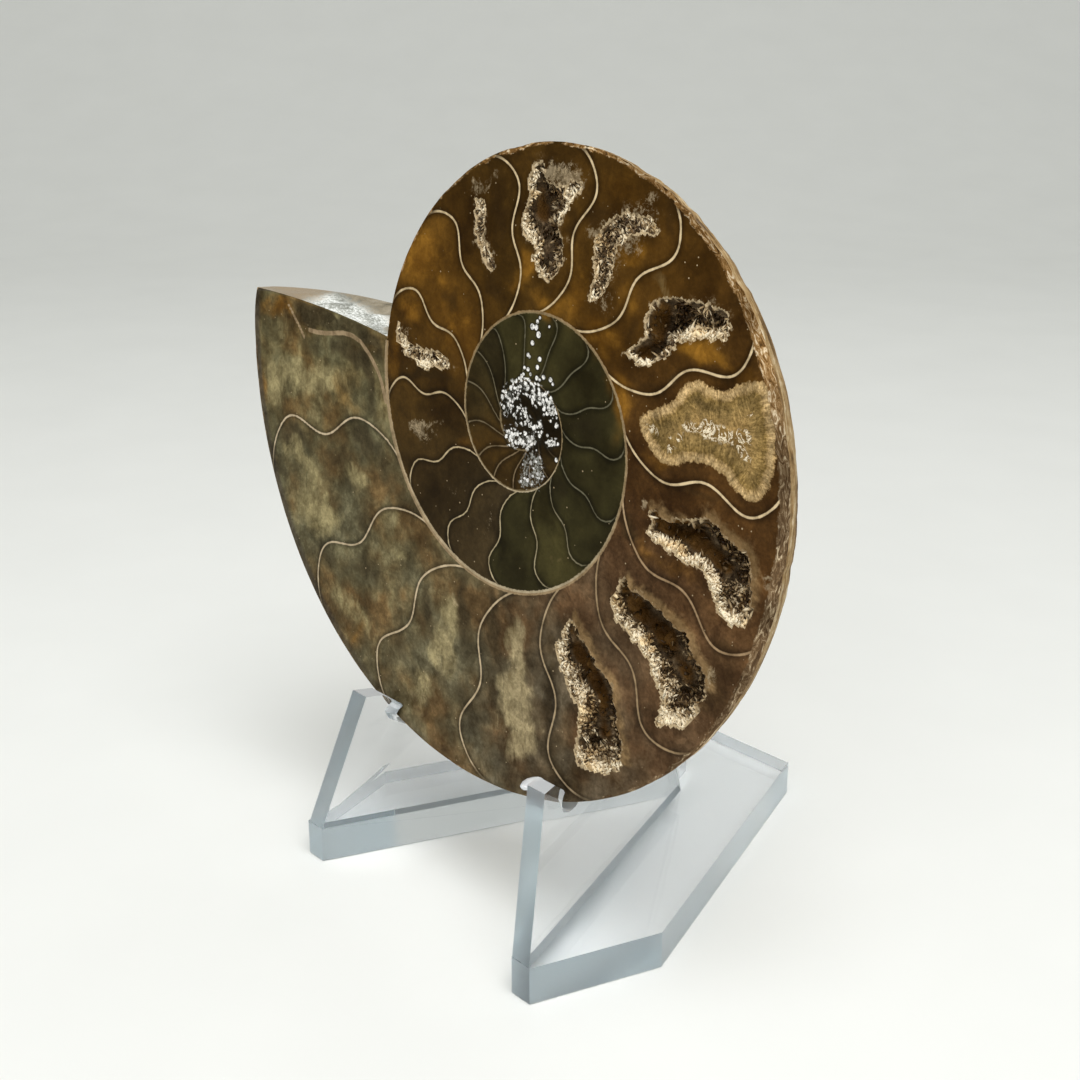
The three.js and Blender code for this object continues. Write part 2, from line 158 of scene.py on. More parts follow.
# Clouds and glows in the calcite, grains round the hollows and places that are darker
HAZE = (
    (-51, 4.5, 3, 3, 0, 0.5), (-47, -1.5, 8, 2.8, 0, 0.8), (-39.5, -1.5, 5, 2.6, 0, 0.75),
    (-52, -5, 4, 3.4, 30, 0.65), (-43, -6.6, 2.5, 1.8, 0, 0.6), (-45, -14, 6, 2.6, -15, 0.8),
    (-40, -20.5, 5.5, 4, -15, 0.9), (-33.5, -13.6, 5, 2.4, -20, 0.75), (-45.5, -20, 3, 3.4, 0, 0.6),
    (-23.5, -21.5, 3.4, 2, 0, 0.6), (-24.5, -27, 2.4, 3.6, 10, 0.55), (-35, -31.5, 4, 3, -10, 0.65),
    (-31, -35, 3, 2.6, 30, 0.6), (-12, -27, 2.2, 4, 8, 0.95), (-13, -34, 2.8, 4, 12, 0.9),
    (-16.5, -40, 3, 2.4, 0, 0.7), (0, -27, 1.9, 3, 0, 0.8), (1, -33, 3, 5, 0, 1),
    (2, -40, 3.6, 4.4, 0, 0.9), (-3.5, -38, 2, 3, 0, 0.4), (7.5, -14.5, 1.2, 0.5, 0, 0.7),
    (20.5, 19.3, 2, 1.3, 0, 0.5), (22.2, 9.8, 2.2, 1.4, 0, 0.4),
)
AMBER = (
    (-52.5, 6.8, 3, 1.3, 0, 0.6), (-50, 7.5, 2, 0.8, 0, 0.6), (-36, -2.5, 1.8, 2.6, 10, 0.35),
    (-33, -4.5, 3, 1.6, 0, 0.3), (-55, -5.5, 0.8, 2.5, 10, 0.5), (-33, -37.4, 3.4, 1.6, 35, 0.7),
    (-20.5, 17.5, 4, 3.6, 30, 0.85), (-22, 11, 2.6, 1.6, 0, 0.7), (-12, 9.5, 3, 3, 0, 0.5),
    (-25, 5, 1.4, 4, 0, 0.5), (-1.5, 18.5, 1.5, 2.6, 0, 0.9), (3.5, 15.2, 2.6, 1.6, 0, 0.7),
    (7.5, 16, 1.8, 3.2, 0, 0.7), (6, 20.5, 1, 2, 0, 0.4), (15.5, 21.8, 2.4, 1.2, 0, 0.7),
    (12.5, 12.4, 3.2, 1.8, -20, 0.9), (16, 16.5, 1.8, 2, 0, 0.5), (26.5, 12.6, 3.4, 1.2, 0, 1),
    (15.4, 5.4, 1.6, 3, 10, 0.95), (20.5, -9.8, 2, 2, 30, 0.3), (25, -11.3, 4, 0.9, -10, 0.3),
    (-15.5, 15.4, 1, 1.4, 0, 0.6), (13.5, 29, 4, 2.4, -20, 0.3), (32, 11.4, 2, 1, 0, 0.4),
    (-10, -4.4, 1.6, 1, 0, 0.4), (26, -17, 3.4, 1, -25, 0.3), (22, 0, 2.4, 0.8, 0, 0.4),
)
FROST = (
    (-19.5, -4.6, 2.8, 0.9, -8, 0.9), (-16, -3.2, 2, 0.9, 20, 0.45), (4.5, 29.4, 4, 1.9, -5, 1),
    (38.4, -9.8, 0.9, 1.5, 0, 0.6), (14, 23.2, 5, 3, 30, 0.5), (16.5, 26.4, 3.2, 1.6, 0, 0.35),
    (-9.2, 22, 1.2, 4.5, 8, 0.5), (-8, 27.4, 2.8, 1.1, 25, 0.6), (-22.5, 7.8, 1.6, 1.2, -40, 0.5),
    (-17, 5.2, 4.5, 1, -8, 0.5), (26, 16.4, 5.4, 2.4, 8, 0.45), (-7, 18, 1, 1.4, 0, 0.5),
    (-12, -10.4, 2.4, 1.4, 0, 0.35), (-5.5, -13.4, 1, 2, 0, 0.5), (2, 23.5, 4, 7, 0, 0.3),
    (11.5, 17.5, 3, 2.6, 0, 0.5), (9.5, 23, 2, 1.4, 0, 0.45), (37, 16, 1, 2, 0, 0.3),
    (9, -22.4, 1.2, 1.4, 0, 0.4), (20.3, -5, 1, 1, 0, 0.5), (-11.2, -25, 1.2, 1.4, 0, 0.6),
    (-26.6, 27, 1, 1, 0, 0.3), (31.5, -22.8, 0.7, 1.6, 0, 0.7), (36.4, -9, 0.7, 2.2, 0, 0.4),
)
SHADE = (
    (-41.5, 6.8, 5.6, 1.6, -8, 1), (-39, 6.4, 6, 1.4, -8, 1), (-37, 7.4, 7, 1.2, -8, 1),
    (-31, 5.6, 3.4, 1.2, -12, 0.95), (-27.6, 3.6, 1, 2, 30, 0.6), (-31.8, 1.6, 3.6, 2, -35, 0.9),
    (-36.3, 3.2, 2, 1.2, 0, 0.9), (-43, 2.6, 3.6, 1.6, 0, 0.5), (-29, -2, 1.8, 4, 20, 0.6),
    (-48, -11, 4.2, 1.8, -8, 0.85), (-31, -8, 4, 1.7, -20, 0.7), (-38, -11.4, 3, 1.2, 0, 0.5),
    (-50, -16, 1.5, 3, 30, 0.4), (-26, -12, 1.8, 4, 40, 0.5), (-31, -20, 2.4, 2.4, 0, 0.6),
    (-29, -26, 5, 2.4, 0, 0.5), (-39, -27, 2.4, 2.4, 0, 0.55), (-22, -34, 2, 5, 20, 0.5),
    (-16.5, -28, 1.4, 5, 8, 0.7), (-9, -27, 1.4, 7, 3, 0.8), (-3.8, -27, 1.4, 6, 0, 0.85),
    (6.5, -32, 1.6, 8, 0, 0.75), (-8.5, -39, 2.4, 3, 0, 0.6), (8.6, -40, 2.4, 2.4, 0, 0.7),
    (11, -35, 1, 3, 0, 0.5), (22, -37, 4, 3, 30, 0.3), (32.5, -24, 3, 4, 0, 0.55), (33, -18.5, 3, 2, 0, 0.5),
    (17.3, -8.2, 1.8, 1.8, 0, 0.7), (-16, -12, 6, 4, 0, 0.6), (-18, 2.6, 5, 1, 0, 0.8),
    (-5.5, 24, 1.8, 5, 0, 0.55), (-10, 20, 3, 2.4, 0, 0.4), (-6, 15.4, 2.4, 2, 0, 0.6), (-14, 12.4, 1.8, 2, 0, 0.6),
    (9.5, 25, 2, 1.6, -20, 0.7), (5.6, 24, 0.8, 3, 0, 0.6), (20.8, 26.2, 1.2, 3.4, 20, 0.6),
    (3, 31, 5, 0.8, 0, 0.6), (22.5, 12, 4, 1, 30, 0.3), (31, 19, 1.6, 2.6, 0, 0.5),
    (17, 13.5, 1.2, 2.4, 0, 0.5), (19, 8.3, 3.4, 0.9, 0, 0.6), (30, 10.4, 2.4, 0.5, 0, 0.5),
    (10.5, 1.5, 4, 2, 0, 0.5), (-8, 0.6, 3, 2, 0, 0.4), (6.4, -7, 1.8, 2.4, 0, 0.5), (-7, 8, 2, 1.6, 0, 0.5),
    (1, 14.2, 1.6, 1.2, 0, 0.4), (28, -3, 5, 0.8, 0, 0.5),
)
# Silvery grains in the middle of the spiral, a frosty plume under them and single white dots
GRAINS = (
    (-2.4, 3, 1.7, 1.3, 35, 0.95), (0.2, 4.5, 1.6, 0.9, 0, 1), (2.5, 3.4, 1.9, 1.1, -20, 1),
    (3.9, 3, 1.2, 1.1, 0, 0.9), (-3.2, 1, 0.9, 0.9, 0, 1), (-1.9, -2, 1.4, 1, -25, 1),
    (0.2, -1.9, 2, 1.1, 0, 0.9), (1.6, -0.6, 1.3, 1.3, 0, 0.7), (-0.4, 0.9, 1.5, 1.1, 0, 0.6),
    (5, -1.4, 1.4, 0.6, 10, 0.8), (5.4, 1.6, 0.6, 1.4, 20, 0.55), (2.7, 0.2, 0.4, 1, 0, 0.8),
)
PLUME = ((0.5, -5.6, 0.9, 2.2, 0, 0.9), (2.9, -5.2, 1.4, 2.3, 8, 1), (1, -7.2, 2, 0.6, 0, 0.8), (2.2, -3.6, 1, 0.8, 0, 0.9))
DOTS = (
    (1.9, 12.9, 0.2), (1.5, 12.4, 0.25), (0.7, 11.7, 0.36), (1.35, 11.7, 0.34), (1.8, 10.9, 0.38),
    (0.85, 9.8, 0.3), (0.2, 8.3, 0.24), (0.5, 8.1, 0.2), (2.2, 8.1, 0.3), (1.9, 7.1, 0.28),
    (-0.3, 6.7, 0.22), (0.35, 6.6, 0.25), (0.8, 6.1, 0.22), (3, 6.1, 0.28), (4.2, 6, 0.3),
    (4.6, 5.6, 0.22), (1.9, 5.8, 0.28), (2.4, 5.7, 0.2), (-0.7, 5.6, 0.26), (-0.4, 5.9, 0.2),
    (-1.1, 5.3, 0.2), (5.9, -3.2, 0.26), (3.5, 12.1, 0.16), (4.2, -0.6, 0.2), (4.6, 1.2, 0.18),
)
# The last chamber wall, seen a little askew, and a healed crack: half width, then its points
VEINS = (
    (0.3, ((-26.4, -2.2), (-27.2, -0.2), (-28.1, 1.4), (-30, 3.4), (-32, 4.9), (-34, 5.5),
            (-36, 5.55), (-38, 5.2), (-40, 4.9), (-42, 4.75), (-43.8, 4.8))),
    (0.24, ((-48.8, 7.6), (-47.5, 6.3), (-46.2, 5), (-45, 3.6))),
)

LINE_COUNTS = ((0, 0.08, 56), (0.08, 0.26, 36), (0.26, 0.88, 440), (0.88, 1, 36))
RING_ROWS = (96, 16, 8)
BACK_STEPS = 26
BACK_RINGS = (6.4, 4.8, 3.2, 1.6)
CORE_RINGS = 8
TIP_ROUND = 0.6
TABLE_GAP = 0.00015  # metres of air under the stand
UP_RIGHT = np.array([0.66, 0.75])
# Slant of a look into a hollow from the front right and above: right and up, for each unit of depth
SLANT = np.array([1.33, 0.51])


def smooth_step(value):
    part = np.clip(value, 0, 1)
    return part * part * (3 - 2 * part)


def lattice(cell, seed):
    """A repeatable value from -1 to 1 for each whole-numbered cell: the fraction of a large sine."""
    mixed = np.sin(cell @ np.array([12.9898, 78.233, 37.719])[: cell.shape[-1]] + seed) * 43758.5453
    return 2 * (mixed - np.floor(mixed)) - 1


def value_noise(points, size, seed=0.0):
    """Smooth noise from -1 to 1: lattice values at a cell's corners, blended by nearness."""
    cells = np.asarray(points) / size
    low = np.floor(cells)
    part = cells - low
    part = part * part * (3 - 2 * part)
    total = np.zeros(cells.shape[:-1])
    for corner in itertools.product((0, 1), repeat=cells.shape[-1]):
        corner = np.array(corner)
        share = np.prod(np.where(corner, part, 1 - part), axis=-1)
        total += share * lattice(low + corner, seed)
    return total


def smooth_path(points, count):
    """A Catmull-Rom curve through the points, read at evenly spaced parameters."""
    knots = np.asarray(points, float)
    knots = np.vstack([2 * knots[0] - knots[1], knots, 2 * knots[-1] - knots[-2]])
    at = np.linspace(0, len(points) - 1 - 1e-9, count)
    first = at.astype(int)
    part = (at - first)[:, None]
    a, b, c, d = (knots[first + i] for i in range(4))
    return 0.5 * (
        2 * b + (c - a) * part + (2 * a - 5 * b + 4 * c - d) * part**2 + (3 * b - a - 3 * c + d) * part**3
    )


def rim_radius(turns):
    """The spiral: its radius falls with the turns wound inwards, a little faster than exponentially."""
    first, second, third = SHRINK
    return RIM_RADIUS * np.exp(-turns * (first + turns * (second + turns * third)))


def whorl_thickness(radius, turns):
    """Rock behind the face in one whorl: umbilical wall, shoulder and a quarter-elliptic flank."""
    rim = rim_radius(turns)
    across = radius / rim
    wall = smooth_step((across - SEAM) / (SHOULDER - SEAM))
    outwards = np.clip((across - SHOULDER) / (1 - SHOULDER), 0, 1)
    return HALF_THICKNESS * rim * np.where(across < SHOULDER, wall, np.sqrt(1 - outwards**2))


def shell_thickness(radius, turns):
    """The outermost whorl hides the ones under it, and rock fills the umbilicus."""
    whorls = [whorl_thickness(radius, turns + inwards) for inwards in range(3)]
    middle = np.where(radius < SHOULDER * INNER_RIM, CORE_THICKNESS, 0)
    rim = np.abs(radius - rim_radius(turns)) < 1e-6
    return np.where(rim, 0, np.maximum(np.max(whorls, axis=0), middle))


def end_angle(radius):
    """Angle of the open end above the level line, by radius."""
    share = np.clip((radius - INNER_RIM) / (TIP_RADIUS - INNER_RIM), 0, 1)
    return END_ANGLE_INNER + (END_ANGLE_TIP - END_ANGLE_INNER) * share


def line_rim(share):
    """Rim radius on the line that starts at the open end and has wound on by a share of a turn,
    drawn in a little at the open end's tip."""
    rim = rim_radius(share)
    for _ in range(12):
        rim = rim_radius(share - end_angle(rim) / (2 * math.pi))
    return rim - TIP_ROUND * np.clip(1 - share / 0.014, 0, 1) ** 2


def line_turns(radius, share):
    return share - end_angle(radius) / (2 * math.pi)


def line_points(radius, share, thickness):
    """Polar points: the angle winds on from the open end, the radius is as given."""
    angle = math.pi - end_angle(radius) + 2 * math.pi * share
    return np.stack([radius * np.cos(angle), thickness + 0 * radius, radius * np.sin(angle)], axis=-1)


def turns_at(x, z):
    return (np.arctan2(z, x) / (2 * math.pi) + 1.5) % 1


def septum_wave(across, turns):
    """Degrees by which a chamber wall runs ahead: two lobes and a flare where it meets each whorl,
    and in the innermost whorls one bow that runs ahead steeply at its inner end."""
    lobes = 1 - smooth_step((turns - 1.2) / 0.7)
    outer = 5 + 3 * (1 - lobes)
    wave = -1.75 * lobes * (1 - np.cos(4 * math.pi * across))
    wave += 9 * np.exp(-across / 0.05) + outer * np.exp(-(1 - across) / 0.05)
    curve = 25 * np.clip(1 - across, 0, 1) ** 3.5 - 3 * np.sin(math.pi * across)
    return wave + (curve - wave) * smooth_step((turns - 1.72) / 0.2)


def cloud(spots, entries, stray=0.0):
    """How strongly a group of soft ellipses covers each spot, from 0 to 1. Each spot is first
    moved by two sizes of noise, so that the ellipses' outlines stray."""
    clear = np.ones(len(spots))
    if stray:
        coarse = [value_noise(spots, 3.1, seed) for seed in (31, 33)]
        close = [value_noise(spots, 1.1, seed) for seed in (35, 37)]
        spots = spots + stray * (np.stack(coarse, axis=-1) + 0.5 * np.stack(close, axis=-1))
    for right, above, along, across, degrees, strength in entries:
        turn = math.radians(degrees)
        offset = spots - np.array([right, above])
        u = (offset[:, 0] * math.cos(turn) + offset[:, 1] * math.sin(turn)) / along
        v = (offset[:, 1] * math.cos(turn) - offset[:, 0] * math.sin(turn)) / across
        clear *= 1 - strength * np.exp(-(u * u + v * v) ** 1.2)
    return 1 - clear


def line_distance(spots, points):
    """Distance from each spot to the nearest piece of a broken line, and how far along that is."""
    line = np.asarray(points, float)
    start, step = line[:-1], line[1:] - line[:-1]
    length = np.hypot(*step.T)
    offset = spots[:, None] - start
    along = np.clip((offset * step).sum(-1) / length**2, 0, 1)
    away = np.hypot(*np.moveaxis(offset - along[..., None] * step, -1, 0))
    nearest = away.argmin(axis=1)
    each = np.arange(len(spots))
    run = (np.cumsum(length) - length)[nearest] + (along * length)[each, nearest]
    return away[each, nearest], run


def outline_depth(spots, outline):
    """Distance to a closed outline, positive inside it, and how far round the nearest place is."""
    line = np.asarray(outline, float)
    after = np.roll(line, -1, axis=0)
    above = (line[:, 1] > spots[:, 1:2]) != (after[:, 1] > spots[:, 1:2])
    with np.errstate(divide="ignore", invalid="ignore"):
        slope = (after[:, 0] - line[:, 0]) / (after[:, 1] - line[:, 1])
        crossing = spots[:, :1] < line[:, 0] + slope * (spots[:, 1:2] - line[:, 1])
    inside = (above & crossing).sum(axis=1) % 2 == 1
    away, run = line_distance(spots, np.vstack([line, line[:1]]))
    return np.where(inside, 1, -1) * away, run


def ragged_edge(spots):
    """How far a hollow's edge strays from its smooth outline: two sizes of lumps."""
    return 0.34 * value_noise(spots, 0.95, 3) + 0.26 * value_noise(spots, 0.42, 5)


def hollow_fields(spots):
    """The open hollows at each spot: depth below the face, distance inside the nearest outline,
    and how near it is to an upper edge, outside. The bowl falls away exponentially from a ragged
    edge, deepest in the bare caves, and never takes more than a share of the rock behind."""
    depth, glow = np.zeros(len(spots)), np.zeros(len(spots))
    gap = np.full(len(spots), -9.0)
    radius = np.hypot(spots[:, 0], spots[:, 1])
    rock = ROCK_CUT * shell_thickness(radius, turns_at(spots[:, 0], spots[:, 1]))
    lumps = 0.22 * value_noise(spots, 1.3, 7) + 0.14 * value_noise(spots, 0.6, 9)
    ragged, cave_shade = ragged_edge(spots), cloud(spots, CAVE_SHADE)
    for deepest, outline in HOLLOWS.values():
        corners = np.asarray(outline)
        near = np.all((spots > corners.min(0) - 4) & (spots < corners.max(0) + 4), axis=1)
        if not near.any():
            continue
        smooth = outline_depth(spots[near], outline)[0]
        below = outline_depth(spots[near] - 0.3 * UP_RIGHT, outline)[0]
        inside = smooth + ragged[near]
        steep = 1 - np.exp(-np.clip(inside, 0, None) * 5.5 / deepest)
        share = np.clip(0.42 + 0.58 * cave_shade[near] + lumps[near] * smooth_step(inside), 0.1, 1)
        bowl = np.minimum(deepest * steep * share, rock[near])
        depth[near] = np.maximum(depth[near], np.where(inside > 0, bowl, 0))
        gap[near] = np.maximum(gap[near], inside)
        # Nearness to an upper edge: it carries painted light on the calcite over the edge, and painted shade on the
        # wall and crystals under it
        upper = smooth_step((below - smooth) / 0.3) * np.exp(-((smooth - ragged[near]) / 1.5) ** 2)
        if deepest > 2:
            lit = 0.3 if corners[:, 1].mean() > 0 else 1
            glow[near] = np.maximum(glow[near], lit * upper)
    return depth, gap, glow


def face_fields(spots):
    """Everything on the cut face that is placed by hand, at each spot."""
    flat = spots.reshape(-1, 2)
    depth, gap, glow = hollow_fields(flat)
    # Painted shade for the caves, placed where a slanted look into each hollow sees it
    cave_shade = cloud(flat + depth[:, None] * SLANT, CAVE_SHADE)
    pocket, way_round = outline_depth(flat, POCKET)
    vein = np.min([line_distance(flat, points)[0] - half for half, points in VEINS], axis=0)
    fields = {
        "haze": cloud(flat, HAZE, 1.3), "amber": cloud(flat, AMBER, 1), "frost": cloud(flat, FROST, 0.9),
        "shade": cloud(flat, SHADE, 1.2), "cave_shade": cave_shade, "grains": cloud(flat, GRAINS, 0.3),
        "plume": cloud(flat, PLUME, 0.3), "seam": cloud(flat, SEAM_CRYSTALS, 0.4), "vein": np.clip(vein, -1, 3),
        "pocket": np.clip(pocket, -3, 6), "round": way_round, "depth": depth,
        "gap": np.clip(gap, -4, 4), "glow": glow, "right": flat[:, 0], "above": flat[:, 1],
    }
    return {name: value.reshape(spots.shape[:-1]) for name, value in fields.items()}


def wall_width(turns):
    """Width of the whorl wall where it starts, by turns: thick at the left, thin at the right."""
    at = (0.9, 1.0, 1.12, 1.25, 1.45, 1.75, 2.0, 2.5, 3)
    return np.interp(turns, at, (0.5, 0.62, 0.75, 0.6, 0.32, 0.3, 0.3, 0.26, 0.2))


def band_width(turns):
    """Width of the flaky shell outside the filling, along the rim of the face."""
    at = (-0.05, 0.04, 0.2, 0.3, 0.38, 0.44, 0.5, 0.56, 0.6, 0.64, 0.7, 0.74, 0.78, 0.84, 1)
    return np.interp(turns, at, (0.3, 0.15, 0.1, 0.15, 0.6, 1.5, 1.5, 1.6, 0.9, 0.6, 0.5, 0.25, 0.4, 0.1, 0.1))


class Skin:
    """Grids of points in millimetres with values at each, and the faces that join them."""

    NAMES = (
        "chamber", "across", "pace", "turns", "right", "above", "haze", "amber", "frost", "shade", "cave_shade",
        "grains", "plume", "seam", "vein", "pocket", "round", "depth", "gap", "glow", "wall", "band", "rim",
    )

    def __init__(self):
        self.points, self.values, self.faces, self.kinds = [], [], [], []
        self.count = 0

    def grid(self, points, **values):
        shape = points.shape[:-1]
        ids = self.count + np.arange(np.prod(shape)).reshape(shape)
        self.points.append(points.reshape(-1, 3))
        table = [np.broadcast_to(values.get(name, 0), shape).reshape(-1) for name in self.NAMES]
        self.values.append(np.stack(table, axis=-1))
        self.count += ids.size
        return ids

    def quads(self, ids, kind):
        """Faces between neighbouring rows and columns of one grid of points."""
        corners = [ids[:-1, :-1], ids[:-1, 1:], ids[1:, 1:], ids[1:, :-1]]
        self.add(np.stack(corners, axis=-1).reshape(-1, 4), kind)

    def fan(self, centre, row, kind):
        ends = np.broadcast_to(centre, row[1:].shape)
        self.add(np.stack([row[:-1], row[1:], ends, ends], axis=-1), kind)

    def add(self, corners, kind):
        self.faces.append(corners)
        self.kinds.append(np.full(len(corners), kind))

    def step_down(self, fine, coarse, kind):
        """Joins a row to one with fewer points: a fan for each coarse point, then one more face."""
        times = (len(fine) - 1) // (len(coarse) - 1)
        parts = fine[:-1].reshape(-1, times)
        nexts = fine[1:].reshape(-1, times)
        ends = np.repeat(coarse[:-1, None], times, axis=1)
        self.add(np.stack([parts, nexts, ends, ends], axis=-1).reshape(-1, 4), kind)
        last = nexts[:, -1]
        self.add(np.stack([last, coarse[1:], coarse[:-1], coarse[:-1]], axis=-1), kind)


def face_values(spots, turns, across, inner, outer):
    """Everything the polished face's finish needs to know at its points."""
    degrees = 360 * turns - septum_wave(across, turns)
    chamber = np.interp(degrees, SEPTA, np.arange(len(SEPTA)))
    radius = np.hypot(spots[..., 0], spots[..., 1])
    to_inner = radius - inner - wall_width(turns + 1) / 2
    to_outer = outer - radius - wall_width(turns) / 2
    steps = np.gradient(spots, axis=0), np.gradient(spots, axis=1)
    lengths = [np.maximum(np.hypot(step[..., 0], step[..., 1]), 1e-4) for step in steps]
    rates = [np.gradient(chamber, axis=axis) / lengths[axis] for axis in (0, 1)]
    pace = 1 / np.maximum(np.hypot(*rates), 1e-3)
    outermost = turns < 1.0 - END_ANGLE_INNER / (2 * math.pi) + 0.002
    wall = np.minimum(to_inner, np.where(outermost, 50, to_outer))
    rim = np.where(outermost, outer - radius, 50)
    return {
        **face_fields(spots), "chamber": chamber, "across": across, "pace": np.clip(pace, 0, 30),
        "turns": turns, "wall": np.clip(wall, -3, 9), "rim": np.clip(rim, 0, 9),
        "band": np.clip(rim - band_width(turns), -3, 9),
    }


def rim_chips(points):
    """Pulls the rim in where the shell has flaked, by a ragged amount along the rim."""
    radius = np.hypot(points[:, 0], points[:, 2])
    turns = turns_at(points[:, 0], points[:, 2])
    rim = line_rim(turns)
    where = np.stack([rim * np.cos(2 * math.pi * turns), rim * np.sin(2 * math.pi * turns)], axis=-1)
    at = (0, 0.03, 0.3, 0.4, 0.46, 0.6, 0.7, 0.76, 0.9, 1)
    rough = np.interp(turns, at, (0.12, 0.05, 0.06, 0.15, 0.3, 0.36, 0.3, 0.22, 0.05, 0.12))
    flake = 0.5 * value_noise(where, 3.1, 2) + 0.32 * value_noise(where, 1.2, 4) + 0.2 * value_noise(where, 0.5, 6)
    pull = rough * np.clip(flake + 0.2, 0, None) * smooth_step((radius - rim + 5) / 5)
    scale = 1 - pull / np.maximum(radius, 1)
    moved = points.copy()
    moved[:, 0] *= scale
    moved[:, 2] *= scale
    return moved


def build_face(skin, shares):
    """The cut face: a strip wound in from the open end, with fewer rows further in, and a core."""
    split = LINE_COUNTS[0][2]
    once = len(shares) - 1
    wound = np.concatenate([shares[:-1], shares[:-1] + 1, shares[:-1] + 2, [3.0]])
    stops = (0, once + split, 2 * once, 3 * once)
    last = None
    for ring, rows in enumerate(RING_ROWS):
        share = wound[stops[ring]: stops[ring + 1] + 1][:, None]
        across = np.linspace(0, 1, rows + 1)[None, :]
        inner, outer = line_rim(share + 1), line_rim(share)
        radius = inner + (outer - inner) * across
        turns = line_turns(radius, share)
        flat = line_points(radius, share, 0.0)
        spots = flat[..., [0, 2]]
        real = np.clip((radius - rim_radius(turns + 1)) / (rim_radius(turns) - rim_radius(turns + 1)), 0, 1)
        values = face_values(spots, turns, real, rim_radius(turns + 1), rim_radius(turns))
        values["depth"] = np.where((ring == 0) & (across == 1) & (share <= 1), 0, values["depth"])
        flat[..., 1] = values["depth"]
        ids = skin.grid(flat, **values)
        if last is None:
            skin.quads(ids, 0)
        else:
            skin.step_down(last, ids[1], 0)
            skin.quads(ids[1:], 0)
        last = ids[-1]
        if ring == 0:
            edge = ids[0]
        if ring == 2:
            core_loop = np.concatenate([ids[:, 0], ids[-1, 1:]])
    build_core(skin, core_loop)
    return edge


def build_core(skin, loop):
    """Fills the middle: the loop around it shrinks to one point."""
    every = np.vstack(skin.points)[loop]
    table = np.vstack(skin.values)[loop]
    centre = np.array([0.7, 0.0, -0.4])
    sizes = np.linspace(1, 0, CORE_RINGS + 1)[:-1][:, None, None]
    shape = (CORE_RINGS, len(loop))
    points = centre + (every - centre) * sizes
    values = {name: np.broadcast_to(table[:, i], shape) for i, name in enumerate(skin.NAMES)}
    values.update(face_fields(points[..., [0, 2]]), chamber=33.5, pace=3.0)
    values["wall"] = values["wall"] + (1 - sizes[..., 0]) * 3
    ids = skin.grid(points, **values)
    skin.quads(ids, 0)
    plain = {"chamber": 33.5, "pace": 3.0, "turns": 2.8, "wall": 3.0, "band": 9, "rim": 9}
    middle = skin.grid(centre[None, None], **face_fields(centre[None, None, [0, 2]]), **plain)
    skin.fan(middle[0, 0], ids[-1], 0)


def flank_ribs(radius, turns):
    """Faint ribs that sweep forwards towards the rim."""
    rim = rim_radius(turns)
    across = np.clip((radius / rim - SHOULDER) / (1 - SHOULDER), 0, 1)
    phase = 2 * math.pi * (46 * turns - 1.1 * across**2)
    return smooth_step(across * 3) * (0.5 - 0.5 * np.cos(phase)) * (1 - 0.5 * across)


def build_back(skin, shares):
    """The uncut side: swollen flank, umbilicus and rim, and the broken end that closes it."""
    step = 1 - (1 - np.linspace(0, 1, BACK_STEPS + 1)) ** 1.8
    share = shares[:, None]
    rim = line_rim(share)
    radius = 8 + (rim - 8) * step[None, :]
    turns = line_turns(radius, share)
    thickness = shell_thickness(radius, turns)
    thickness[:, -1] = 0
    thickness -= 0.3 * flank_ribs(radius, turns) * np.minimum(1, thickness / 6)
    points = line_points(radius, share, thickness)
    lump = value_noise(points, 3.5, 11) * 0.12 + value_noise(points, 1.1, 13) * 0.06
    points[..., 1] -= (0.18 + lump) * np.minimum(1, thickness / 4)
    ids = skin.grid(points, turns=turns, across=radius / rim_radius(turns), depth=thickness)
    skin.quads(ids, 2)
    rings = np.array((8, *BACK_RINGS))[:, None]
    ring_turns = line_turns(rings, shares[None, :])
    ring_points = line_points(rings + 0 * ring_turns, shares[None, :], shell_thickness(rings, ring_turns))
    ring_points[:, -1] = ring_points[:, 0]
    ring_points[0] = points[:, 0]
    inner = skin.grid(ring_points, turns=ring_turns, across=0.1)
    skin.quads(inner, 2)
    middle = skin.grid(np.array([[[0.0, CORE_THICKNESS, 0.0]]]), across=0.1)
    skin.fan(middle[0, 0], inner[-1], 2)
    build_end(skin, points[-1], points[0])


def build_end(skin, last, first):
    """The broken septum: a dished, conchoidal sheet from the inner whorl's line to the tip's."""
    share = np.linspace(0, 1, RING_ROWS[0] + 1)[None, :]
    ranges = [np.hypot(line[:, 0], line[:, 2])[:, None] for line in (last, first)]
    radius = ranges[0] + (ranges[1] - ranges[0]) * share
    thickness = last[:, 1:2] + (first[:, 1:2] - last[:, 1:2]) * share
    points = line_points(radius, 0.0 * radius, thickness)
    points[:, 0], points[:, -1] = last, first
    waves = 1 + 0.35 * np.sin(radius * 0.9 + thickness * 0.35) + 0.4 * value_noise(points, 2.2, 15)
    edge = np.sin(math.pi * share) * np.minimum(1, thickness / 3)
    points[..., 2] -= END_DISH * edge * np.clip(waves, 0.1, None)
    ids = skin.grid(points, turns=0.0, across=share, depth=thickness, right=radius)
    skin.quads(ids, 3)


def to_row(points):
    """From the fossil's own frame to the row's: leaned, turned, set in the notches, in metres."""
    low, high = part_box("display_stand")
    origin = np.array([(low.x + high.x) / 2, low.y, low.z]) * 1000
    x, y, z = np.moveaxis(points, -1, 0)
    lean, turn = -LEAN_BACK, TURNED
    y, z = y * math.cos(lean) - z * math.sin(lean), y * math.sin(lean) + z * math.cos(lean)
    x, y = x * math.cos(turn) - y * math.sin(turn), x * math.sin(turn) + y * math.cos(turn)
    return (np.stack([x, y, z], axis=-1) + SPIRAL_CENTRE + origin) / 1000


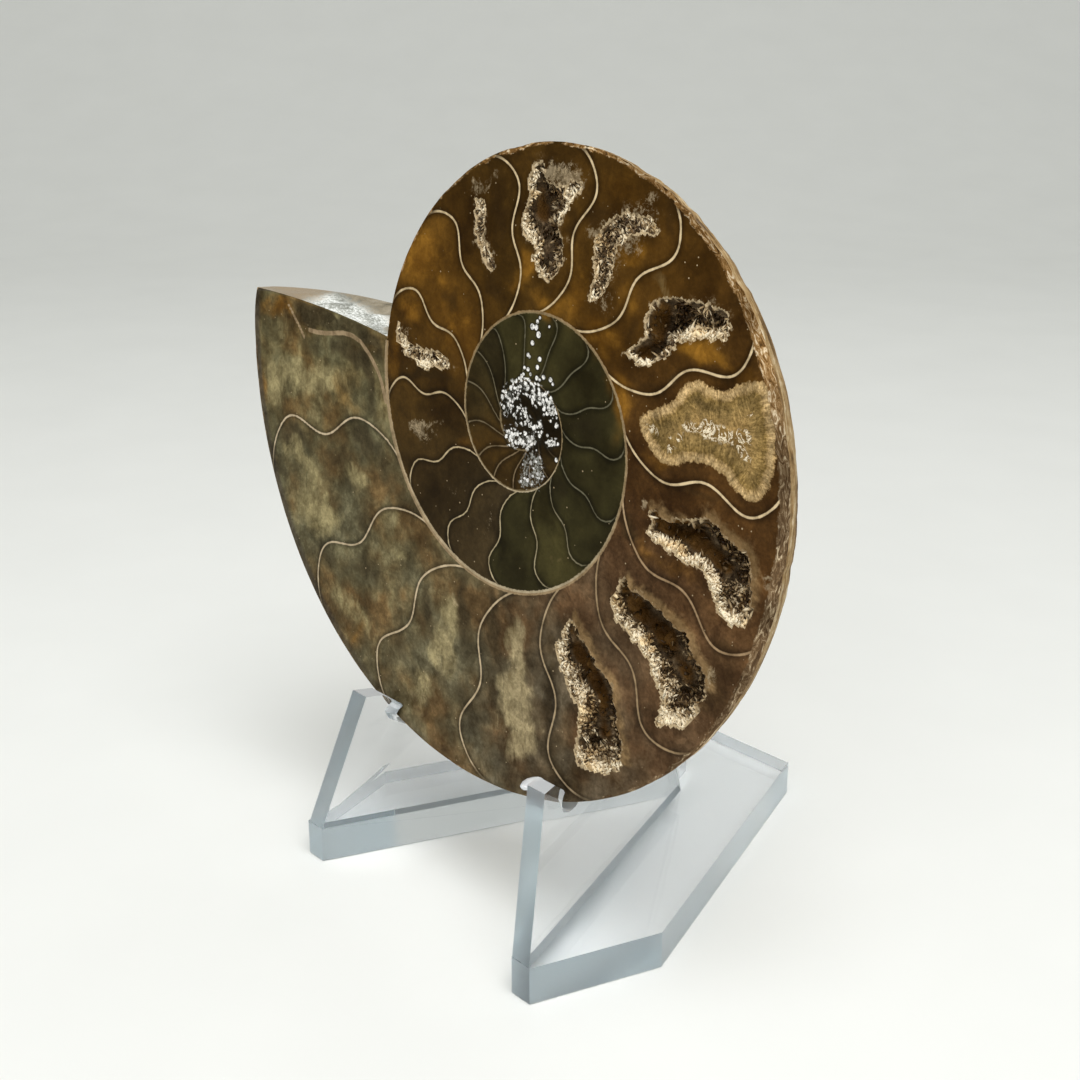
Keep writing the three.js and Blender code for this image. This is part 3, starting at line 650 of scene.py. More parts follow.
def new_mesh(name, points, faces):
    """A mesh from points in metres and a list of arrays of faces, each with 3 or 4 corners."""
    mesh = bpy.data.meshes.new(name)
    corners = np.concatenate([part.ravel() for part in faces])
    totals = np.concatenate([np.full(len(part), part.shape[1]) for part in faces])
    starts = np.concatenate([[0], np.cumsum(totals)[:-1]])
    mesh.vertices.add(len(points))
    mesh.vertices.foreach_set("co", np.asarray(points, np.float32).ravel())
    mesh.loops.add(len(corners))
    mesh.loops.foreach_set("vertex_index", corners.astype(np.int32))
    mesh.polygons.add(len(totals))
    mesh.polygons.foreach_set("loop_start", starts.astype(np.int32))
    mesh.polygons.foreach_set("loop_total", totals.astype(np.int32))
    mesh.update(calc_edges=True)
    return mesh


def new_piece(mesh, replaced=()):
    piece = bpy.data.objects.new(mesh.name, mesh)
    bpy.context.scene.collection.objects.link(piece)
    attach(piece, "root")
    if replaced:
        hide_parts(*replaced)
    return piece


def drop_doubled(corners):
    """Splits faces with four corners from those where two neighbours are one point."""
    same = corners[..., 0] == np.roll(corners[..., 0], -1, axis=1)
    four = corners[same.sum(1) == 0]
    three = corners[same.sum(1) == 1][~same[same.sum(1) == 1]].reshape(-1, 3, corners.shape[-1])
    return four, three, same.sum(1)


def write_values(mesh, vertex, corner, table, names):
    """Attributes at the points, and maps at the corners for what jumps at the whorl walls."""
    first = np.zeros(len(mesh.vertices), np.int64)
    first[vertex] = corner
    for name in names[6:]:
        field = mesh.attributes.new(name, "FLOAT", "POINT")
        field.data.foreach_set("value", table[first, names.index(name)].astype(np.float32))
    for title, pair in (("Chambers", ("chamber", "across")), ("Pace", ("pace", "turns")), ("Face", ("right", "above"))):
        layer = mesh.uv_layers.new(name=title)
        columns = [names.index(name) for name in pair]
        layer.uv.foreach_set("vector", table[corner][:, columns].astype(np.float32).ravel())


def build_fossil_mesh():
    """Welds face, back and broken end into one closed mesh with its values and finishes."""
    skin = Skin()
    shares = np.concatenate([np.linspace(a, b, n, endpoint=False) for a, b, n in LINE_COUNTS] + [[1.0]])
    build_face(skin, shares)
    build_back(skin, shares)
    points = np.vstack(skin.points)
    keys = np.round(points * 1e5).astype(np.int64)
    _, kept, home = np.unique(keys, axis=0, return_index=True, return_inverse=True)
    home = home.ravel()
    corners = np.concatenate(skin.faces)
    kinds = np.concatenate(skin.kinds)
    both = np.stack([home[corners], corners], axis=-1)
    four, three, count = drop_doubled(both)
    kinds = np.concatenate([kinds[count == 0], kinds[count == 1]])
    mesh = new_mesh("ammonite_polished_half", to_row(rim_chips(points[kept])), [four[..., 0], three[..., 0]])
    corner = np.concatenate([four[..., 1].ravel(), three[..., 1].ravel()])
    vertex = np.concatenate([four[..., 0].ravel(), three[..., 0].ravel()])
    table = np.vstack(skin.values)
    write_values(mesh, vertex, corner, table, skin.NAMES)
    depths = table[:, skin.NAMES.index("depth")]
    deep = np.concatenate([depths[four[..., 1]].max(1), depths[three[..., 1]].max(1)]) > 0.02
    kinds = np.where((kinds == 0) & deep, 1, kinds)
    mesh.polygons.foreach_set("material_index", kinds.astype(np.int32))
    mesh.polygons.foreach_set("use_smooth", kinds != 1)
    outwards(mesh)
    mark_sharp(mesh)
    return mesh


def outwards(mesh):
    """Turns every face of a closed mesh to point out."""
    work = bmesh.new()
    work.from_mesh(mesh)
    bmesh.ops.recalc_face_normals(work, faces=work.faces)
    if work.calc_volume(signed=True) < 0:
        bmesh.ops.reverse_faces(work, faces=work.faces)
    work.to_mesh(mesh)
    work.free()


def mark_sharp(mesh):
    """Sharp edges wherever two kinds of surface meet."""
    kinds = np.zeros(len(mesh.polygons), np.int32)
    totals = np.zeros(len(mesh.polygons), np.int32)
    edges = np.zeros(len(mesh.loops), np.int32)
    mesh.polygons.foreach_get("material_index", kinds)
    mesh.polygons.foreach_get("loop_total", totals)
    mesh.loops.foreach_get("edge_index", edges)
    around = np.repeat(kinds, totals)
    least = np.full(len(mesh.edges), 99)
    most = np.full(len(mesh.edges), -1)
    np.minimum.at(least, edges, around)
    np.maximum.at(most, edges, around)
    mesh.edges.foreach_set("use_edge_sharp", least != most)


def crystal_seats(outline, count, rng):
    """Places on a hollow's surface, more on steep walls and in the mats, few in the caves, with the marks for the
    painted light and shade of each crystal.
    """
    corners = np.asarray(outline)
    spots = rng.uniform(corners.min(0) - 1, corners.max(0) + 1, size=(count * 12, 2))
    inside = outline_depth(spots, outline)[0] + ragged_edge(spots)
    spots, inside = spots[inside > 0.02], inside[inside > 0.02]
    (depth, _, bare), nudge = hollow_fields(spots), 0.12
    slopes = [(hollow_fields(spots + np.array(step))[0] - depth) / nudge for step in ((nudge, 0), (0, nudge))]
    slopes = np.clip(np.stack(slopes, axis=-1), -4, 4)
    steep = np.sqrt(1 + (slopes**2).sum(-1))
    # Painted light in the mats and near the cut edge, painted shade in the caves and under the upper edges; mats and
    # caves are placed where a slanted look into the hollow sees them
    seen = spots + depth[:, None] * SLANT
    lit_mat, cave_shade = cloud(seen, LIT_MATS), np.maximum(bare, cloud(seen, CAVE_SHADE))
    chance = steep * np.clip(0.4 + 1.2 * lit_mat - 1.4 * cave_shade, 0.012, None)
    chosen = rng.choice(len(spots), size=min(count, len(spots) // 2), replace=False, p=chance / chance.sum())
    normal = np.stack([slopes[:, 0], -np.ones(len(spots)), slopes[:, 1]], axis=-1) / steep[:, None]
    seat = np.stack([spots[:, 0], depth, spots[:, 1]], axis=-1)
    edge = 1 - smooth_step(inside / 0.9)
    return seat[chosen], normal[chosen], {"depth": depth, "lit_mat": lit_mat, "cave_shade": cave_shade, "edge": edge}, chosen


def crystal_mesh(name, outline, count, length, width, rng):
    """Small bladed crystals: a leaning pyramid with four sides stands on each seat, and its lean
    follows its neighbours' along a slowly turning direction."""
    seat, normal, marks, chosen = crystal_seats(outline, count, rng)
    swing = math.pi * (value_noise(seat[:, [0, 2]], 1.7, 21) + 0.35 * rng.normal(0, 1, len(seat)))
    sweep = np.stack([np.cos(swing), 0 * swing, np.sin(swing)], axis=-1)
    lean = 0.75 * normal + 0.8 * sweep + rng.normal(0, 0.25, seat.shape)
    lean /= np.linalg.norm(lean, axis=1, keepdims=True)
    side = np.cross(lean, rng.normal(0, 1, seat.shape))
    side /= np.linalg.norm(side, axis=1, keepdims=True)
    other = np.cross(lean, side)
    long = length * rng.lognormal(0, 0.35, (len(seat), 1, 1))
    wide = width * rng.lognormal(0, 0.3, (len(seat), 1, 1))
    turn = np.array([0, 0.5, 1, 1.5])[None, :, None] * math.pi
    ring = side[:, None] * np.cos(turn) + 0.6 * other[:, None] * np.sin(turn)
    foot = seat[:, None] - 0.2 * long * lean[:, None]
    base = foot + 0.6 * wide * ring
    waist = foot + 0.7 * long * lean[:, None] + 0.5 * wide * ring
    tip = foot + 1.1 * long * lean[:, None]
    points = np.concatenate([base, waist, tip], axis=1)
    points[..., 1] = np.maximum(points[..., 1], 0.02)
    start = 9 * np.arange(len(seat))[:, None, None]
    here, after = np.arange(4), np.roll(np.arange(4), -1)
    sides = start + np.stack([here, after, after + 4, here + 4], axis=-1)
    tops = start + np.stack([here + 4, after + 4, np.full(4, 8)], axis=-1)
    floors = start + np.array([[3, 2, 1, 0]])
    faces = [np.concatenate([sides, floors], axis=1).reshape(-1, 4), tops.reshape(-1, 3)]
    mesh = new_mesh(name, to_row(points.reshape(-1, 3)), faces)
    marks = {title: values[chosen] for title, values in marks.items()}
    for title, values in {**marks, "tone": rng.uniform(0, 1, len(seat))}.items():
        field = mesh.attributes.new(title, "FLOAT", "POINT")
        field.data.foreach_set("value", np.repeat(values, 9).astype(np.float32))
    return mesh


class Recipe:
    """A material written down one node after another."""

    def __init__(self, name):
        self.material = bpy.data.materials.new(name)
        self.material.use_nodes = True
        self.tree = self.material.node_tree
        self.tree.nodes.clear()
        self.place = self.step("TexCoord", output="Object")

    def step(self, kind, inputs=(), output=0, **settings):
        node = self.tree.nodes.new("ShaderNode" + kind)
        for key, value in settings.items():
            setattr(node, key, value)
        for key, value in dict(inputs).items():
            if isinstance(value, bpy.types.NodeSocket):
                self.tree.links.new(value, node.inputs[key])
            else:
                node.inputs[key].default_value = value
        return node.outputs[output]

    def maths(self, operation, *values):
        return self.step("Math", enumerate(values), operation=operation)

    def field(self, name):
        return self.step("Attribute", output="Fac", attribute_name=name)

    def chart(self, name):
        """The two numbers that a map holds."""
        both = self.step("SeparateXYZ", {0: self.step("UVMap", uv_map=name)}).node
        return both.outputs[0], both.outputs[1]

    def noise(self, size, detail=4.0, rough=0.55, stretch=None, output=0, twist=0.0):
        """Noise whose blots are about that many millimetres across."""
        place = self.place
        if stretch:
            place = self.step("Mapping", {0: place, 3: stretch})
        inputs = {"Vector": place, "Scale": 1000 / size, "Detail": detail, "Roughness": rough, "Distortion": twist}
        return self.step("TexNoise", inputs, output=output)

    def grain(self, first, second, detail=3.0, rough=0.6, twist=0.0):
        """Noise on a flat pair of numbers, about one blot for each unit."""
        inputs = {"Vector": self.join(first, second), "Scale": 1.0, "Detail": detail, "Roughness": rough, "Distortion": twist}
        return self.step("TexNoise", inputs, noise_dimensions="2D")

    def join(self, first, second):
        return self.step("CombineXYZ", {0: first, 1: second})

    def grey(self, value):
        return self.step("CombineColor", {0: value, 1: value, 2: value})

    def span(self, value, low, high, start=0.0, end=1.0):
        """A smooth change from start to end as the value goes from low to high."""
        inputs = {0: value, 1: low, 2: high, 3: start, 4: end}
        return self.step("MapRange", inputs, interpolation_type="SMOOTHSTEP")

    def mix(self, share, first, second, how="MIX"):
        inputs = {0: share, 6: first, 7: second}
        return self.step("Mix", inputs, output=2, data_type="RGBA", blend_type=how)

    def ramp(self, value, *stops):
        socket = self.step("ValToRGB", {0: value})
        ramp = socket.node.color_ramp
        while len(ramp.elements) < len(stops):
            ramp.elements.new(0.5)
        for element, (place, colour) in zip(ramp.elements, stops):
            element.position = place
            element.color = (*colour[:3], 1)
        return socket

    def bump(self, height, distance, strength=1.0, normal=None):
        inputs = {"Height": height, "Distance": distance, "Strength": strength}
        if normal:
            inputs["Normal"] = normal
        return self.step("Bump", inputs)

    def finish(self, **inputs):
        surface = self.step("BsdfPrincipled", {key.replace("_", " "): value for key, value in inputs.items()})
        self.step_output(surface)
        return self.material

    def step_output(self, surface, volume=None):
        node = self.tree.nodes.new("ShaderNodeOutputMaterial")
        self.tree.links.new(surface, node.inputs["Surface"])
        if volume:
            self.tree.links.new(volume, node.inputs["Volume"])


def colour(name):
    return (*getattr(bpy.context.scene.ammonite_finish, name), 1)


def polished_calcite():
    """Brown calcite in chambers: clouds and glows, pale chamber walls, a closed pocket, grains."""
    r = Recipe("polished calcite")
    chamber, across = r.chart("Chambers")
    pace, turns = r.chart("Pace")
    right, above = r.chart("Face")
    fine = r.noise(0.45, 4, 0.65)
    small = r.noise(1.6, 6, 0.68, twist=0.5)
    large = r.noise(5.5, 6, 0.62, twist=0.7)
    wisps = r.grain(r.maths("DIVIDE", right, 1.3), r.maths("DIVIDE", above, 3.2), 6, 0.7, 0.8)
    ragged = r.maths("ADD", r.maths("MULTIPLY", small, 0.55), r.maths("MULTIPLY", large, 0.45))

    along = r.maths("DIVIDE", turns, 2.6)
    base = r.ramp(
        along, (0.0, (0.105, 0.084, 0.038)), (0.08, (0.092, 0.072, 0.037)), (0.115, (0.09, 0.062, 0.034)),
        (0.15, (0.073, 0.04, 0.019)), (0.18, (0.054, 0.025, 0.007)), (0.235, (0.052, 0.024, 0.004)),
        (0.3, (0.048, 0.024, 0.004)), (0.345, (0.066, 0.03, 0.004)), (0.385, (0.038, 0.02, 0.004)),
        (0.43, (0.029, 0.018, 0.006)), (0.47, (0.034, 0.023, 0.01)), (0.72, (0.028, 0.021, 0.007)),
        (0.8, (0.038, 0.02, 0.004)), (1.0, (0.024, 0.016, 0.005)),
    )
    green = r.maths("MULTIPLY", r.maths("GREATER_THAN", chamber, FIRST_GREEN), r.maths("LESS_THAN", chamber, LAST_GREEN))
    base = r.mix(green, base, colour("green_calcite"))
    chance = r.step("TexWhiteNoise", {"W": r.maths("FLOOR", chamber)}, output="Value", noise_dimensions="1D")
    base = r.mix(1.0, base, r.ramp(chance, (0, (0.82, 0.82, 0.84)), (1, (1.18, 1.17, 1.15))), "MULTIPLY")

    hue = r.noise(8, 3, 0.55)
    outer = r.span(turns, 0.28, 0.42, 1, 0)
    base = r.mix(outer, base, r.mix(1.0, base, r.ramp(hue, (0.38, (1.0, 0.8, 0.66)), (0.5, (0.98, 0.98, 0.98)), (0.62, (1.02, 1.14, 1.3))), "MULTIPLY"))
    cloudy = r.ramp(r.noise(6.5, 3, 0.5, twist=0.4), (0.34, (0.5, 0.46, 0.4)), (0.5, (1, 1, 1)), (0.66, (1.5, 1.5, 1.5)))
    base = r.mix(0.85, base, cloudy, "MULTIPLY")
    shade = r.span(r.maths("MULTIPLY", r.field("shade"), r.maths("ADD", ragged, 0.42)), 0.1, 0.72)
    dark = r.ramp(along, (0.0, (0.04, 0.031, 0.015)), (0.1, (0.035, 0.024, 0.011)), (0.22, (0.035, 0.017, 0.004)), (0.4, colour("dark_calcite")), (0.5, (0.016, 0.012, 0.005)))
    base = r.mix(r.maths("MULTIPLY", shade, 0.85), base, dark)
    misty = r.maths("ADD", r.maths("MULTIPLY", wisps, 0.8), r.maths("MULTIPLY", large, 0.55))
    haze = r.span(r.maths("MULTIPLY", r.field("haze"), r.maths("ADD", misty, -0.1)), 0.16, 0.5)
    base = r.mix(r.maths("MULTIPLY", haze, 0.92), base, r.ramp(along, (0.0, colour("khaki_cloud")), (0.06, colour("khaki_cloud")), (0.1, colour("beige_cloud")), (0.2, (0.17, 0.12, 0.05))))
    amber = r.span(r.maths("MULTIPLY", r.field("amber"), r.maths("ADD", large, 0.5)), 0.0, 1.05)
    base = r.mix(r.maths("MULTIPLY", amber, 0.92), base, r.mix(r.span(large, 0.35, 0.65), (0.145, 0.063, 0.007, 1), colour("amber_glow")))
    glow = r.span(r.maths("ADD", r.field("glow"), r.maths("MULTIPLY", r.maths("SUBTRACT", small, 0.5), 0.9)), 0.2, 0.95)
    base = r.mix(r.maths("MULTIPLY", glow, 0.85), base, colour("lit_edge"))
    edge_grey = r.maths("MULTIPLY", r.span(r.maths("ADD", r.field("rim"), r.maths("MULTIPLY", ragged, 0.8)), 1.1, 2.1, 1, 0), r.span(turns, 0.1, 0.24, 0.8, 0))
    base = r.mix(edge_grey, base, (0.055, 0.045, 0.032, 1))

    mottle = r.ramp(ragged, (0.36, (0.5, 0.46, 0.39)), (0.49, (0.96, 0.96, 0.96)), (0.61, (1.6, 1.62, 1.66)))
    calm = r.maths("MAXIMUM", r.maths("MULTIPLY", green, 0.6), r.span(turns, 0.4, 0.62, 0, 0.45))
    base = r.mix(r.maths("SUBTRACT", 0.9, calm), base, mottle, "MULTIPLY")
    bent = r.step("VectorMath", {0: r.place, 1: r.step("VectorMath", {0: r.noise(2.2, 3, 0.6, output=1), 3: 0.0016}, operation="SCALE")}, operation="ADD")
    cell = r.step("TexVoronoi", {"Vector": bent, "Scale": 1000 / 2.6}, output="Color")
    facet = r.ramp(cell, (0.1, (0.74, 0.72, 0.68)), (0.9, (1.3, 1.29, 1.27)))
    base = r.mix(r.maths("SUBTRACT", 0.65, r.maths("MULTIPLY", calm, 0.6)), base, facet, "MULTIPLY")
    base = r.mix(r.maths("SUBTRACT", 0.75, r.maths("MULTIPLY", calm, 0.7)), base, r.ramp(fine, (0.3, (0.72, 0.7, 0.66)), (0.7, (1.3, 1.3, 1.32))), "MULTIPLY")
    near = r.maths("MULTIPLY", r.maths("PINGPONG", chamber, 0.5), pace)
    base = r.mix(1.0, base, r.grey(r.span(near, 0.12, 0.9, 0.5, 1.0)), "MULTIPLY")

    squiggle = r.span(r.maths("ABSOLUTE", r.maths("SUBTRACT", r.noise(0.8, 3, 0.55, twist=1.4), 0.5)), 0.0, 0.04, 1, 0)
    sparse = r.span(r.noise(1.1, 2, 0.5), 0.46, 0.6)
    flaky = r.maths("ADD", r.maths("MULTIPLY", r.maths("SUBTRACT", fine, 0.5), 1.7), r.maths("MULTIPLY", r.maths("SUBTRACT", small, 0.5), 1.9))
    frost = r.maths("MULTIPLY", r.span(r.maths("ADD", r.field("frost"), flaky), 0.42, 0.8), r.span(r.field("frost"), 0.12, 0.35))
    base = r.mix(r.maths("MULTIPLY", frost, 0.62), base, r.mix(1.0, colour("frosted_calcite"), r.ramp(r.noise(0.8, 4, 0.75, twist=0.8), (0.38, (0.42, 0.39, 0.33)), (0.6, (1.3, 1.28, 1.25))), "MULTIPLY"))
    near_hollow = r.span(r.field("gap"), -1.3, -0.1, 0, 0.35)
    wispy = r.maths("MULTIPLY", r.maths("MULTIPLY", squiggle, sparse), r.span(r.maths("ADD", r.maths("MAXIMUM", r.field("frost"), near_hollow), r.maths("MULTIPLY", r.maths("SUBTRACT", ragged, 0.5), 2.0)), 0.3, 0.6))
    base = r.mix(r.maths("MULTIPLY", wispy, 0.55), base, colour("crystal_cream"))
    lower = r.span(r.field("glow"), 0.1, 0.6, 1, 0.3)
    lip = r.span(r.maths("ADD", r.field("gap"), r.maths("MULTIPLY", r.maths("SUBTRACT", fine, 0.5), 1.0)), -0.25, 0.02)
    base = r.mix(r.maths("MULTIPLY", lip, r.maths("MULTIPLY", lower, 0.7)), base, colour("crystal_cream"))
    star = r.step("TexVoronoi", {"Vector": r.place, "Scale": 1000 / 1.5}, output="Distance")
    speck = r.span(r.maths("ADD", star, r.maths("MULTIPLY", small, 0.16)), 0.1, 0.15, 0.7, 0)
    base = r.mix(speck, base, colour("crystal_cream"))

    pocket = r.maths("ADD", r.field("pocket"), r.maths("MULTIPLY", r.maths("SUBTRACT", fine, 0.5), 0.9))
    fibre = r.grain(r.maths("DIVIDE", r.field("round"), 0.3), r.maths("DIVIDE", pocket, 1.6), 5, 0.7, 0.5)
    reach = r.maths("ADD", pocket, r.maths("MULTIPLY", r.maths("SUBTRACT", small, 0.5), 1.6))
    inside = r.ramp(
        r.maths("DIVIDE", reach, 5.0), (0.0, (0.28, 0.19, 0.085)), (0.1, colour("pocket_border")), (0.19, (0.33, 0.23, 0.105)),
        (0.27, (0.17, 0.113, 0.038)), (0.45, (0.19, 0.13, 0.048)), (0.7, (0.23, 0.155, 0.06)), (1, (0.25, 0.16, 0.056)),
    )
    inside = r.mix(1.0, inside, r.ramp(fibre, (0.34, (0.66, 0.63, 0.57)), (0.52, (1, 1, 1)), (0.66, (1.5, 1.5, 1.55))), "MULTIPLY")
    inside = r.mix(1.0, inside, r.ramp(r.noise(3.2, 5, 0.65, twist=0.6), (0.36, (0.62, 0.6, 0.58)), (0.62, (1.45, 1.4, 1.35))), "MULTIPLY")
    inside = r.mix(1.0, inside, r.ramp(r.noise(0.3, 3, 0.7), (0.34, (0.6, 0.58, 0.54)), (0.64, (1.35, 1.35, 1.35))), "MULTIPLY")
    wiry = r.span(r.maths("ABSOLUTE", r.maths("SUBTRACT", r.noise(1.5, 4, 0.65, twist=1.8), 0.5)), 0.005, 0.045, 1, 0)
    seam = r.span(r.maths("ADD", r.field("seam"), r.maths("MULTIPLY", r.maths("SUBTRACT", small, 0.5), 1.6)), 0.25, 0.6)
    inside = r.mix(r.maths("MULTIPLY", seam, 0.45), inside, (0.13, 0.07, 0.018, 1))
    inside = r.mix(r.maths("MULTIPLY", wiry, seam), inside, colour("white_crystal"))
    teeth = r.maths("ADD", pocket, r.maths("MULTIPLY", r.maths("SUBTRACT", small, 0.5), 1.3))
    base = r.mix(r.span(teeth, -0.08, 0.12), base, inside)

    width = r.maths("ADD", r.span(turns, 0.9, 1.2, 0.125, 0.075), r.maths("MULTIPLY", r.maths("SUBTRACT", small, 0.5), 0.14))
    septum = r.span(r.maths("SUBTRACT", near, width), -0.05, 0.06, 1, 0)
    fade = r.maths("MULTIPLY", r.span(across, 0.93, 0.985, 1.0, 0.2), r.span(turns, 2.2, 2.5, 1, 0))
    septum = r.maths("MULTIPLY", septum, fade)
    line_colour = r.ramp(
        along, (0.0, (0.5, 0.4, 0.27)), (0.08, (0.46, 0.36, 0.23)), (0.13, (0.27, 0.19, 0.105)), (0.165, (0.3, 0.2, 0.11)),
        (0.19, (0.58, 0.45, 0.27)), (0.3, (0.58, 0.45, 0.27)), (0.4, (0.44, 0.34, 0.2)), (0.48, (0.4, 0.33, 0.2)),
        (0.53, (0.12, 0.11, 0.07)), (0.7, (0.1, 0.09, 0.055)), (0.85, (0.17, 0.12, 0.065)),
    )
    streak = r.ramp(small, (0.32, (0.62, 0.6, 0.56)), (0.62, (1.2, 1.2, 1.2)))
    base = r.mix(septum, base, r.mix(1.0, line_colour, streak, "MULTIPLY"))
    vein = r.span(r.maths("ADD", r.field("vein"), r.maths("MULTIPLY", r.maths("SUBTRACT", fine, 0.5), 0.2)), -0.05, 0.06, 0.85, 0)
    base = r.mix(vein, base, r.mix(1.0, colour("vein"), r.ramp(small, (0.34, (0.62, 0.58, 0.52)), (0.6, (1.35, 1.35, 1.35))), "MULTIPLY"))
    wall = r.maths("ADD", r.maths("ADD", r.field("wall"), r.span(turns, 2.3, 2.5, 0, 9)), r.maths("MULTIPLY", r.maths("SUBTRACT", fine, 0.5), 0.4))
    wall_colour = r.ramp(along, (0.0, (0.3, 0.22, 0.13)), (0.36, (0.26, 0.17, 0.08)), (0.42, (0.4, 0.31, 0.19)), (0.5, (0.4, 0.33, 0.22)), (0.56, (0.26, 0.19, 0.1)), (0.75, (0.2, 0.15, 0.08)), (0.9, (0.14, 0.1, 0.05)))
    base = r.mix(r.span(wall, -0.04, 0.07, 1, 0), base, r.mix(1.0, wall_colour, streak, "MULTIPLY"))

    layers = r.grain(r.maths("DIVIDE", r.field("rim"), 0.55), r.maths("MULTIPLY", turns, 170), 6, 0.72, 1.1)
    band = r.maths("ADD", r.field("band"), r.maths("MULTIPLY", r.maths("SUBTRACT", small, 0.5), 1.4))
    golden = r.ramp(layers, (0.34, (0.06, 0.03, 0.01)), (0.44, (0.17, 0.085, 0.024)), (0.54, (0.34, 0.2, 0.08)), (0.66, (0.72, 0.6, 0.42)))
    umber = r.ramp(layers, (0.36, (0.045, 0.026, 0.013)), (0.5, (0.11, 0.066, 0.032)), (0.58, (0.2, 0.14, 0.08)), (0.68, (0.5, 0.4, 0.26)))
    band_colour = r.mix(1.0, r.mix(r.span(turns, 0.5, 0.58), umber, golden), cloudy, "MULTIPLY")
    base = r.mix(r.span(band, -0.12, 0.1, 1, 0), base, band_colour)

    dots = 9.0
    spot = r.join(right, above)
    for place_right, place_above, size in DOTS:
        away = r.step("VectorMath", {0: spot, 1: (place_right, place_above, 0)}, output=1, operation="DISTANCE")
        dots = r.maths("MINIMUM", dots, r.maths("SUBTRACT", away, size))
    dots = r.maths("ADD", dots, r.maths("MULTIPLY", r.maths("SUBTRACT", fine, 0.5), 0.2))
    seeds = r.step("VectorMath", {0: r.place, 1: r.step("VectorMath", {0: r.noise(0.8, 2, 0.5, output=1), 3: 0.0005}, operation="SCALE")}, operation="ADD")
    kernels = r.step("TexVoronoi", {"Vector": seeds, "Scale": 1000 / 0.52}).node
    lot = r.step("SeparateColor", {0: kernels.outputs["Color"]}).node
    crowd = r.maths("ADD", r.maths("MULTIPLY", r.field("grains"), 1.15), r.maths("MULTIPLY", lot.outputs[0], 0.9))
    spread = r.maths("SUBTRACT", kernels.outputs["Distance"], r.maths("MULTIPLY_ADD", lot.outputs[1], 0.34, 0.36))
    grainy = r.span(r.field("grains"), 0.12, 0.3)
    kernel = r.maths("MULTIPLY", r.span(spread, -0.08, 0.06, 1, 0), r.maths("MULTIPLY", r.span(crowd, 0.8, 0.9), grainy))
    halo = r.maths("MAXIMUM", r.span(dots, 0.08, 0.2, 0.75, 0), r.maths("MULTIPLY", grainy, 0.6))
    base = r.mix(halo, base, (0.012, 0.01, 0.006, 1))
    sheen = r.ramp(r.noise(0.35, 3, 0.6), (0.36, (0.3, 0.3, 0.27)), (0.56, (1.15, 1.15, 1.12)))
    flour = r.maths("MULTIPLY", r.maths("SUBTRACT", r.noise(0.36, 4, 0.75), 0.5), 3.4)
    floury = r.maths("MAXIMUM", r.field("plume"), r.maths("MULTIPLY", r.field("grains"), 0.7))
    plume = r.maths("MULTIPLY", r.span(r.maths("ADD", floury, flour), 0.6, 1.1, 0, 0.7), r.span(floury, 0.15, 0.4))
    base = r.mix(plume, base, r.mix(1.0, (0.42, 0.42, 0.4, 1), sheen, "MULTIPLY"))
    base = r.mix(r.maths("MULTIPLY", r.span(r.field("plume"), 0.35, 0.8), r.span(lot.outputs[2], 0.76, 0.8)), base, r.mix(r.span(spread, -0.1, 0, 1, 0), base, colour("silver_fleck")))
    grain = r.maths("MAXIMUM", r.span(dots, -0.06, 0.04, 1, 0), kernel)
    base = r.mix(grain, base, r.mix(1.0, colour("silver_fleck"), sheen, "MULTIPLY"))

    roughness = r.maths("ADD", 0.16, r.maths("MULTIPLY", frost, 0.2))
    height = r.maths("ADD", r.maths("MULTIPLY", septum, 0.35), r.maths("MULTIPLY", fine, 0.25))
    return r.finish(
        Base_Color=base, Roughness=roughness, Normal=r.bump(height, 0.00004, 0.5), Specular_IOR_Level=0.03,
    )


def hollow_wall():
    """Rough brown calcite under the crystals, with a pale broken edge; painted shade makes it near black in the caves
    and under the upper edges, darker the deeper it lies.
    """
    r = Recipe("hollow wall")
    fine = r.noise(0.4, 4, 0.7)
    lumps = r.noise(1.1, 5, 0.65)
    # Painted shade: the caves and the wall under an upper edge turn dark brown, darker the deeper they lie
    bare = r.maths("MAXIMUM", r.field("cave_shade"), r.field("glow"))
    cave_shade = r.span(r.maths("ADD", bare, r.maths("MULTIPLY", r.maths("SUBTRACT", lumps, 0.5), 0.7)), 0.3, 0.8)
    floor = r.ramp(lumps, (0.35, (0.03, 0.018, 0.009)), (0.55, (0.1, 0.066, 0.034)), (0.68, (0.26, 0.19, 0.115)))
    deep = r.maths("ADD", r.maths("DIVIDE", r.field("depth"), 5.0), r.maths("MULTIPLY", r.maths("SUBTRACT", lumps, 0.5), 0.7))
    cave = r.ramp(deep, (0.1, (0.13, 0.064, 0.015)), (0.45, (0.075, 0.034, 0.007)), (0.8, (0.035, 0.015, 0.003)))
    base = r.mix(cave_shade, floor, cave)
    lip = r.maths("ADD", r.field("depth"), r.maths("MULTIPLY", r.maths("SUBTRACT", fine, 0.5), 0.9))
    # Painted shade dims the pale broken edge under the upper edges
    pale = r.maths("MULTIPLY", r.span(lip, 0.1, 0.42, 0.85, 0), r.span(r.field("glow"), 0.2, 0.8, 1, 0.45))
    base = r.mix(pale, base, colour("crystal_cream"))
    return r.finish(Base_Color=base, Roughness=0.5, Normal=r.bump(lumps, 0.0005), Specular_IOR_Level=0.08)


